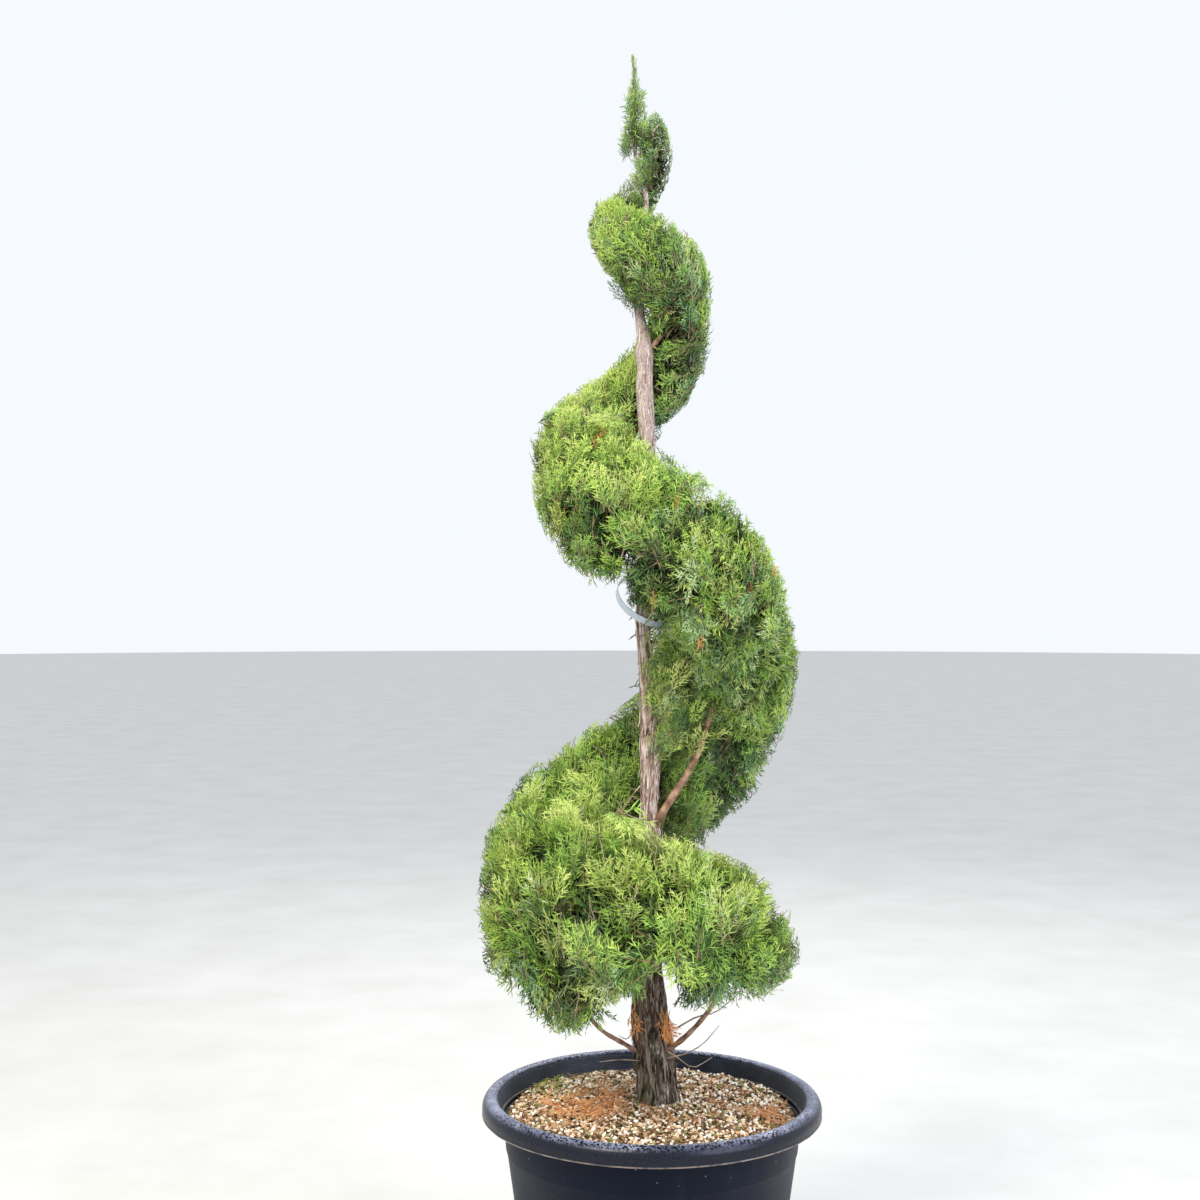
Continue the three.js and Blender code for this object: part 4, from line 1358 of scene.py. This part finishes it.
def make_tag():
    """A strip looped round the trunk: a ring drawn out to the strip's width and given its thickness."""
    ring = bpy.ops.mesh.primitive_circle_add
    foot = -TAG_WIDTH / 2 * MM
    strip = started("tag_strip", ring, vertices=96, radius=TAG_RADIUS * MM, location=(0, 0, foot))
    bpy.ops.object.mode_set(mode="EDIT")
    bpy.ops.mesh.select_all(action="SELECT")
    bpy.ops.mesh.extrude_region_move(TRANSFORM_OT_translate={"value": (0, 0, TAG_WIDTH * MM)})
    bpy.ops.object.mode_set(mode="OBJECT")
    settle(strip)
    wall = strip.modifiers.new("wall", "SOLIDIFY")
    wall.thickness = TAG_THICKNESS * MM
    wall.offset = 0
    soft = strip.modifiers.new("edges", "BEVEL")
    soft.width = TAG_THICKNESS / 4 * MM
    soft.segments = 2
    apply_modifiers(strip)
    strip.matrix_world = tag_matrix()
    settle(strip)
    bpy.ops.object.shade_smooth_by_angle(angle=math.radians(35))
    strip.data.materials.append(tag_plastic)
    dress(strip, "tag_plastic", "plant_tag")


# The foliage
def near_limbs(points, margin):
    """True for points that lie in or close to the trunk, a bough or the tag's strip where it shows."""
    rows = row_at(TRUNK, np.clip(points[:, 2] / MM, TRUNK_FOOT, TRUNK_TOP))
    away = np.hypot(points[:, 0] - rows[:, 1] * MM, points[:, 1] - rows[:, 2] * MM)
    hit = (away < rows[:, 3] * MM * 1.1 + margin) & (points[:, 2] < TRUNK_TOP * MM)
    ring = tag_line(np.linspace(0, 1, 60))
    ring = ring[(ring[:, 0] < 0.03) & (ring[:, 1] < 0.05)]
    lines = [(ring, 0.011)]
    for path, radii in BOUGHS.values():
        lines.append((curve_line(path)(np.linspace(0, 1, 24))[0], radii[0] * MM))
    for line, radius in lines:
        hit |= np.linalg.norm(points[:, None] - line, axis=-1).min(axis=1) < radius + margin
    return hit


def in_hollows(points, rng):
    hit = np.zeros(len(points), bool)
    for x, y, z, *half_widths in HOLLOWS:
        away = (((points - np.array([x, y, z]) * MM) / (np.array(half_widths) * MM)) ** 2).sum(axis=1)
        hit |= away < rng.uniform(0.8, 1.15, len(points))
    return hit


def clear_of_limbs(sprays, rng, margin):
    middle = (sprays.tip + sprays.root()) / 2
    blocked = near_limbs(sprays.tip, margin) | near_limbs(middle, margin * 0.7)
    blocked |= in_hollows(sprays.tip, rng) | in_hollows(middle, rng)
    return sprays.only(~blocked)


def mass_spans():
    """Each mass with the turns where it begins and ends."""
    spans = {}
    start = FIRST_TURN
    for quarter in range(12):
        end = min(quarter * 0.25 + 0.125, LAST_TURN)
        spans[f"turn{quarter // 4 + 1}_{QUARTERS[quarter % 4]}"] = (start, end)
        start = end
    return spans


def spray_axis(turn, place, tip, rng, loose):
    """The way each spray grows: out from the middle of its section, upright on the sides, hanging below."""
    outward = unit(tip - ribbon_middle(turn))
    rows = row_at(RIBBON, turn)
    share = (tip[:, 2] / MM - rows[:, 3]) / np.maximum(rows[:, 4] - rows[:, 3], 1)
    climb = smoothstep(share, 0.1, 0.55)
    hang = (1 - climb) * smoothstep(turn, 1.1, 0.2)
    high = smoothstep(turn, 0.8, 1.6)
    flow = UP * (climb * 1.15 - hang * 0.75 + high * 0.6)[:, None]
    along = climb_direction(turn) * smoothstep(turn, 0.2, 1.2)[:, None] * 0.25
    return unit(outward * 0.85 + flow + along + rng.normal(0, loose, tip.shape))


def spray_tint(tip, normal, rng):
    """The tint level of each spray: lighter in random drifts; painted light on upward faces and painted shade
    on downward faces and on faces to the right, most on the top lobe; darker at the very top; painted light
    on the mass right of the trunk and painted shade on the low slope behind it.
    """
    drift = value_noise(tip * 8, 31) * 1.5 + value_noise(tip * 26, 32) * 1.2
    topmost = smoothstep(tip[:, 2], 2.02, 2.07)
    to_right = 0.25 + 0.4 * smoothstep(tip[:, 2], 1.5, 1.64)
    # Painted light and shade: upward faces lighter, downward faces darker, and faces to the right darker,
    # most on the top lobe.
    shade = normal[:, 2] * 0.9 - normal[:, 0] * to_right - topmost * 0.6
    # Painted light on the mass right of the trunk; painted shade on the low slope behind the trunk.
    lit_side = smoothstep(tip[:, 0], 0.08, 0.2) * smoothstep(np.abs(tip[:, 2] - 1.12), 0.24, 0.12)
    shaded_far_slope = smoothstep(tip[:, 1], -0.02, 0.1) * smoothstep(tip[:, 2], 1.3, 1.2)
    return 0.8 + drift + shade + 1.1 * lit_side - 0.7 * shaded_far_slope + rng.normal(0, 0.68, len(tip))


def tint_family(tip, normal, rng):
    """Green, with some olive sprays, more of them on downward faces; cooler ones at the very top, and more
    cool sprays on downward faces and on the right as painted shade.
    """
    # Painted shade: downward faces, and the right side, take more cool sprays.
    below = np.clip(0.4 - normal[:, 2] * 0.6, 0, 1)
    olive = rng.uniform(0, 1, len(tip)) < 0.14 + below * 0.2 + (value_noise(tip * 15, 61) - 0.5) * 0.2
    drift = (value_noise(tip * 9, 62) - 0.5) * 0.5 + smoothstep(tip[:, 2], 2.02, 2.07) * 0.35
    cool = rng.uniform(0, 1, len(tip)) < below * 0.3 + 0.1 * np.sign(tip[:, 0]) + drift
    return np.where(cool, 2, np.where(olive, 1, 0))


def outer_sprays(rng):
    """The clipped surface: sprays in tufts that each share a lean, a depth and a shade."""
    turn, place = spread_over_ribbon(OUTER_SPRAYS, rng)
    tuft_turn, tuft_place = spread_over_ribbon(OUTER_SPRAYS // TUFT_SIZE, rng)
    spot = ribbon_point(turn, place)
    tuft_spot = ribbon_point(tuft_turn, tuft_place)
    tuft = nearest(spot, tuft_spot)
    count = len(tuft_turn)
    tuft_depth = rng.uniform(-0.006, 0.018, count)
    tuft_lean = rng.normal(0, 0.42, (count, 3))
    tuft_level = rng.normal(0, 0.6, count)
    normal = ribbon_normal(turn, place)
    fineness = (13 + 15 * smoothstep(turn, 0.9, 1.9))[:, None]
    pocket = smoothstep(value_noise(spot * fineness, 51), 0.63, 0.78) * (normal[:, 2] < 0.5)
    usual = spray_length(turn)
    depth = tuft_depth[tuft] + np.abs(rng.normal(0, 0.005, len(turn))) - 0.002
    depth = depth * np.clip(usual / 0.08, 0.4, 1) + pocket * 0.3 * usual
    tip = ribbon_point(turn, place, depth) + (tuft_spot[tuft] - spot) * 0.16
    loose = (1 - 0.4 * smoothstep(turn, 1.2, 1.9))[:, None]
    axis = unit(spray_axis(turn, place, spot, rng, 0.2) + tuft_lean[tuft] * loose)
    length = usual * rng.uniform(0.7, 1.2, len(turn))
    # Sprays sunk in pockets take darker tint levels: painted shade.
    level = np.clip(np.round(spray_tint(tip, normal, rng) + tuft_level[tuft] - pocket * 1.2), 0, 4)
    tint = tint_family(tip, normal, rng) * FAMILY_SIZE + level.astype(int)
    return Sprays(tip, axis, normal, length, tint, turn)


def inner_sprays(rng, count, shallow, deep, brightest):
    """Sprays behind the surface, at depths given in spray lengths, held to the darkest tint levels as painted
    shade inside the foliage.
    """
    turn, place = spread_over_ribbon(count, rng)
    usual = spray_length(turn)
    tip = ribbon_point(turn, place, usual * rng.uniform(shallow, deep, len(turn)))
    normal = ribbon_normal(turn, place)
    axis = spray_axis(turn, place, ribbon_point(turn, place), rng, 0.4)
    length = usual * rng.uniform(0.6, 1.0, len(turn))
    tint = rng.integers(0, brightest + 1, len(turn)) + FAMILY_SIZE * rng.integers(0, 2, len(turn))
    sprays = Sprays(tip, axis, normal, length, tint, turn)
    return sprays.only(depth_ratio(sprays.root(), turn)[0] < 1.05)


def tail_sprays(rng):
    """Sprays that close the low end of the ribbon."""
    turn = np.full(TAIL_SPRAYS, FIRST_TURN)
    place = rng.uniform(0, 1, TAIL_SPRAYS)
    tip = ribbon_point(turn, place, rng.uniform(0, 0.07, TAIL_SPRAYS))
    out = -climb_direction(turn)
    tip = tip + out * rng.uniform(-0.005, 0.012, TAIL_SPRAYS)[:, None]
    axis = unit(out + UP * 0.3 + rng.normal(0, 0.35, tip.shape))
    level = np.clip(np.round(spray_tint(tip, out, rng)), 0, 4).astype(int)
    tint = level + FAMILY_SIZE * tint_family(tip, out, rng)
    return Sprays(tip, axis, out, spray_length(turn) * 0.8, tint, turn)


def surface_sprays(rng):
    """The clipped surface and its tail, less what would cross a limb, with a few small patches gone brown."""
    outer = outer_sprays(rng).and_also(tail_sprays(rng))
    outer = outer.only(depth_ratio(outer.root(), outer.turn)[0] < 1.6)
    outer = outer.only(np.abs(turns_near(outer.root(), outer.turn) - outer.turn) < 0.2)
    outer = clear_of_limbs(outer, rng, 0.003)
    outer.tint[value_noise(outer.tip * 31, 40) > 0.965] = LEAF_RUST
    return outer


def make_dead_sprays(outer, rng):
    """The dead sprigs on the front of the foliage, laid on the sprays that are there, and at the foot."""
    on_front = []
    for x, height, lean, length, tint in DEAD_SPRIGS:
        away = np.hypot(outer.tip[:, 0] - x * MM, outer.tip[:, 2] - height * MM)
        front = np.quantile(outer.tip[away < 0.03][:, 1], 0.12)
        on_front.append([[x * MM, front, height * MM], [lean, -0.5, 1], length * MM, tint])
    at_foot = [[np.array(tip) * MM, way, length * MM, LEAF_DEAD] for tip, way, length in HANGING_SPRIGS]
    groups = []
    for fan, rows in (("dead", on_front), ("hanging", at_foot)):
        tips, ways, lengths, tints = (np.array(column) for column in zip(*rows))
        sprigs = Sprays(tips, unit(ways.astype(float)), -BACK, lengths, tints)
        groups.append(grow(fans[fan], sprigs, rng, 0.3))
    points, faces, slots = joined(*groups)
    dress(mesh_piece("sprays_dead", points, faces, leaf_finishes, slots), "foliage")


def make_trunk_sprays(rng):
    """Sprays that grow beside the trunk, where the clipped ribbon meets it, and behind the tag."""
    groups = []
    for count, low, high, length, way, levels in TRUNK_SPRAYS:
        tip = rng.uniform(low, high, (count, 3)) * MM
        ways = np.repeat([way], count, axis=0)
        ways[:, 0] *= np.where(tip[:, 0] < -0.012, -1, 1)
        axis = unit(ways + rng.normal(0, 0.34, (count, 3)))
        normal = unit(UP * 0.3 - BACK + rng.normal(0, 0.3, (count, 3)))
        tint = rng.integers(0, levels, count) + FAMILY_SIZE * rng.choice(3, count, p=[0.6, 0.25, 0.15])
        lengths = length * rng.uniform(0.8, 1.2, count)
        groups.append(grow(fans["long"], Sprays(tip, axis, normal, lengths, tint), rng))
    points, faces, slots = joined(*groups)
    dress(mesh_piece("sprays_beside_trunk", points, faces, leaf_finishes, slots), "foliage")


def bare_twig_rods(bare, rng):
    """Leafless twigs near the surface: each a bent stem with side twigs."""
    size = bare.length[:, None] * (0.8 - 0.4 * smoothstep(bare.turn, 1.9, 2.3))[:, None]
    root = bare.tip - bare.axis * size
    bend_share = 0.55
    bend = root + (bare.tip - root) * bend_share + rng.normal(0, 0.13, root.shape) * size
    rows = [(root, bend, 0.0015, 0.0011), (bend, bare.tip, 0.0011, 0.0006)]
    for share in (0.45, 0.75, 0.95):
        if share < bend_share:
            at = root + (bend - root) * share / bend_share
        else:
            at = bend + (bare.tip - bend) * (share - bend_share) / (1 - bend_share)
        way = unit(bare.axis + rng.normal(0, 0.5, root.shape))
        rows.append((at, at + way * size * rng.uniform(0.2, 0.45, (len(root), 1)), 0.0009, 0.0005))
    starts, ends, thick, thin = zip(*rows)
    count = len(root)
    return np.concatenate(starts), np.concatenate(ends), np.repeat(thick, count), np.repeat(thin, count)


def pick(sprays, first, last):
    if last < LAST_TURN:
        return sprays.only((sprays.turn >= first) & (sprays.turn < last))
    return sprays.only(sprays.turn >= first)


def limbs_in_mass(first, last, rng):
    """Boughs from the trunk into the ribbon's middle: starts, ends and radii of their lengths."""
    starts, ends, thick, thin = [], [], [], []
    for k in range(MASS_BOUGHS):
        at = first + (last - first) * (k + rng.uniform(0.2, 0.8)) / MASS_BOUGHS
        row = row_at(RIBBON, at)[0]
        foot_height = (row[3] + (row[4] - row[3]) * rng.uniform(0.2, 0.6)) * MM
        foot, trunk_thick = trunk_spot(min(foot_height, TRUNK_TOP * MM - 0.02))
        middle = ribbon_middle(at)[0] + rng.normal(0, 0.012, 3)
        far = ribbon_point(at, rng.uniform(0.35, 0.6), spray_length(at)[0] * 0.9)[0]
        out = unit((middle - foot) * (RIGHT + BACK))
        foot = foot + out * trunk_thick * 0.6
        bend = rng.normal(0, 0.1, 3) * np.linalg.norm(middle - foot)
        route = [foot, foot + (middle - foot) * 0.35 + bend, foot + (middle - foot) * 0.7 + bend, middle, far]
        size = (0.0003 + 0.0085 * row[2] * MM) * rng.uniform(0.7, 1.25)
        sizes = size * (1.5 - 0.25 * np.arange(5))
        starts += route[:-1]
        ends += route[1:]
        thick += [*sizes[:-1]]
        thin += [*sizes[1:]]
    return starts, ends, thick, thin


def make_mass(name, first, last, layers, rng):
    """The boughs, twigs and sprays of one quarter of a turn."""
    outer, mid, core, bare = (pick(layer, first, last) for layer in layers)
    groups = []
    for fan, (low, high) in SURFACE_FANS.items():
        sized = outer.only((outer.length >= low) & (outer.length < high))
        if len(sized.turn):
            groups.append(grow(fans[fan], sized, rng))
    groups.append(grow(fans["behind"], mid, rng))
    groups.append(grow(fans["core"], core, rng, 2.0))
    points, faces, slots = joined(*groups)
    piece = mesh_piece(f"sprays_{name}", points, faces, leaf_finishes, slots)
    dress(piece, "foliage", f"foliage_{name}")

    starts, ends, thick, thin = bare_twig_rods(bare, rng)
    twig_turn = np.tile(bare.turn, len(starts) // len(bare.turn))
    starts, ends = (shear(spots, twig_turn, 0.003) for spots in (starts, ends))
    sag = sagging(starts, ends, 0.045, rng)
    make_twigs(f"bare_twigs_{name}", pale_twig, starts, ends, thick, thin, sag)

    starts, ends, thick, thin = limbs_in_mass(first, last, rng)
    spots = np.array(ends)
    root = outer.root()
    fork_count = max(12, len(root) // 9)
    fork_turn = rng.uniform(first, last, fork_count)
    forks = ribbon_point(fork_turn, rng.uniform(0, 1, fork_count), spray_length(fork_turn) * 1.15)
    forks = forks[~near_limbs(forks, 0.003)]
    carrier = nearest(forks, spots)
    fork_size = np.minimum(np.array(thin)[carrier] * 0.6, 0.0022)
    sprouts = shear(root + outer.axis * outer.length[:, None] * 0.12, outer.turn, 0.0005)
    starts = np.array([*starts, *spots[carrier], *forks[nearest(root, forks)]])
    ends = np.array([*ends, *forks, *sprouts])
    thick = np.array([*thick, *fork_size, *np.full(len(root), 0.0011)])
    thin = np.array([*thin, *(fork_size * 0.7), *np.full(len(root), 0.0008)])
    sag = sagging(starts, ends, 0.05, rng)
    make_twigs(f"twigs_{name}", bark_twig, starts, ends, thick, thin, sag)


def leader_at(share):
    """The leader's middle line, from the trunk's tip to its own."""
    _, x, y, _ = TRUNK[-1]
    share = np.asarray(share, float)
    sway = 4 * share * (1 - share) * LEADER_SWAY
    height = TRUNK_TOP + (LEADER_TOP - TRUNK_TOP) * share
    return np.stack([x + LEADER_LEAN * share + sway, np.full_like(share, y), height], axis=-1) * MM


def make_leader():
    """Sprays that clasp the leader: a bushy foot, then a thin whip."""
    rng = np.random.default_rng(77)
    count = LEADER_SPRAYS
    share = ((np.arange(count) + 0.5) / count) ** 0.85
    out = circle(np.arange(count) * 2.1 + rng.normal(0, 0.3, count))
    usual = np.interp(share, (0, 0.4, 0.6, 0.8, 1), (0.054, 0.044, 0.026, 0.016, 0.014))
    length = usual * rng.uniform(0.6, 1.15, count)
    spread = np.interp(share, (0, 0.5, 0.8, 1), (0.5, 0.42, 0.25, 0.15))[:, None]
    axis = unit(out * spread + UP + rng.normal(0, 0.09, (count, 3)))
    tip = leader_at(share * 0.95) + axis * length[:, None]
    tip[:, 2] = np.minimum(tip[:, 2], LEADER_TOP * MM - 0.003)
    tint = np.clip(np.round(rng.normal(1.7, 0.8, count)), 0, 4).astype(int)
    tint += FAMILY_SIZE * rng.choice(3, count, p=[0.45, 0.25, 0.3])
    points, faces, slots = grow(fans["leader"], Sprays(tip, axis, out, length, tint), rng)
    points[:, 2] = np.minimum(points[:, 2], LEADER_TOP * MM)
    piece = mesh_piece("sprays_leader", points, faces, leaf_finishes, slots)
    dress(piece, "foliage", "foliage_leader")
    line = leader_at(np.linspace(0, 0.98, 9))
    sizes = np.linspace(0.0034, 0.0009, 9)
    make_twigs("shoot_leader", pale_twig, line[:-1], line[1:], sizes[:-1], sizes[1:])


def make_foliage():
    rng = np.random.default_rng(5)
    outer = surface_sprays(rng)
    mid = clear_of_limbs(inner_sprays(rng, MID_SPRAYS, 0.22, 0.6, 1), rng, 0.004)
    core = clear_of_limbs(inner_sprays(rng, CORE_SPRAYS, 0.6, 1.2, 0), rng, 0.006)
    bare = clear_of_limbs(inner_sprays(rng, BARE_TWIGS, 0.03, 0.2, 0), rng, 0.002)
    make_dead_sprays(outer, rng)
    make_trunk_sprays(rng)
    for name, (first, last) in mass_spans().items():
        make_mass(name, first, last, (outer, mid, core, bare), rng)
    make_leader()


# The setting: a pale floor, soft light and the photograph's view
def make_setting():
    ring = bpy.ops.mesh.primitive_circle_add
    floor = started("floor", ring, vertices=96, radius=40, fill_type="NGON", location=(0, 0, -0.0005))
    made = Nodes("pale_floor")
    tone = made.noise(made.place, 3, 4)
    floor.data.materials.append(made.finish(made.ramp(tone, (0.3, "cbcbc8"), (0.7, "d4d4d2")), 0.85, 0.3))

    scene = bpy.context.scene
    scene.world = bpy.data.worlds.new("soft_sky")
    scene.world.use_nodes = True
    background = scene.world.node_tree.nodes["Background"]
    background.inputs["Color"].default_value = linear("f1f5fb")
    background.inputs["Strength"].default_value = 1.05

    for name, (place, turn, size, power, tint) in LIGHTS.items():
        light = bpy.data.lights.new(name, "AREA")
        light.energy = power
        light.size = size
        light.color = linear(tint)[:3]
        lamp = bpy.data.objects.new(name, light)
        lamp.location = place
        lamp.rotation_euler = [math.radians(a) for a in turn]
        scene.collection.objects.link(lamp)

    camera = bpy.data.objects.new("camera", bpy.data.cameras.new("camera"))
    camera.data.lens = SENSOR_WIDTH * FOCAL_PIXELS / PICTURE_PIXELS
    camera.data.sensor_width = SENSOR_WIDTH
    camera.location = CAMERA_PLACE
    camera.rotation_euler = (math.radians(90), 0, 0)
    scene.collection.objects.link(camera)
    scene.camera = camera
    scene.view_settings.view_transform = "Standard"


make_pot()
make_mix()
make_grains()
make_clippings()
make_limbs()
make_strips()
make_foot_twigs()
make_foliage()
make_tag()
make_setting()
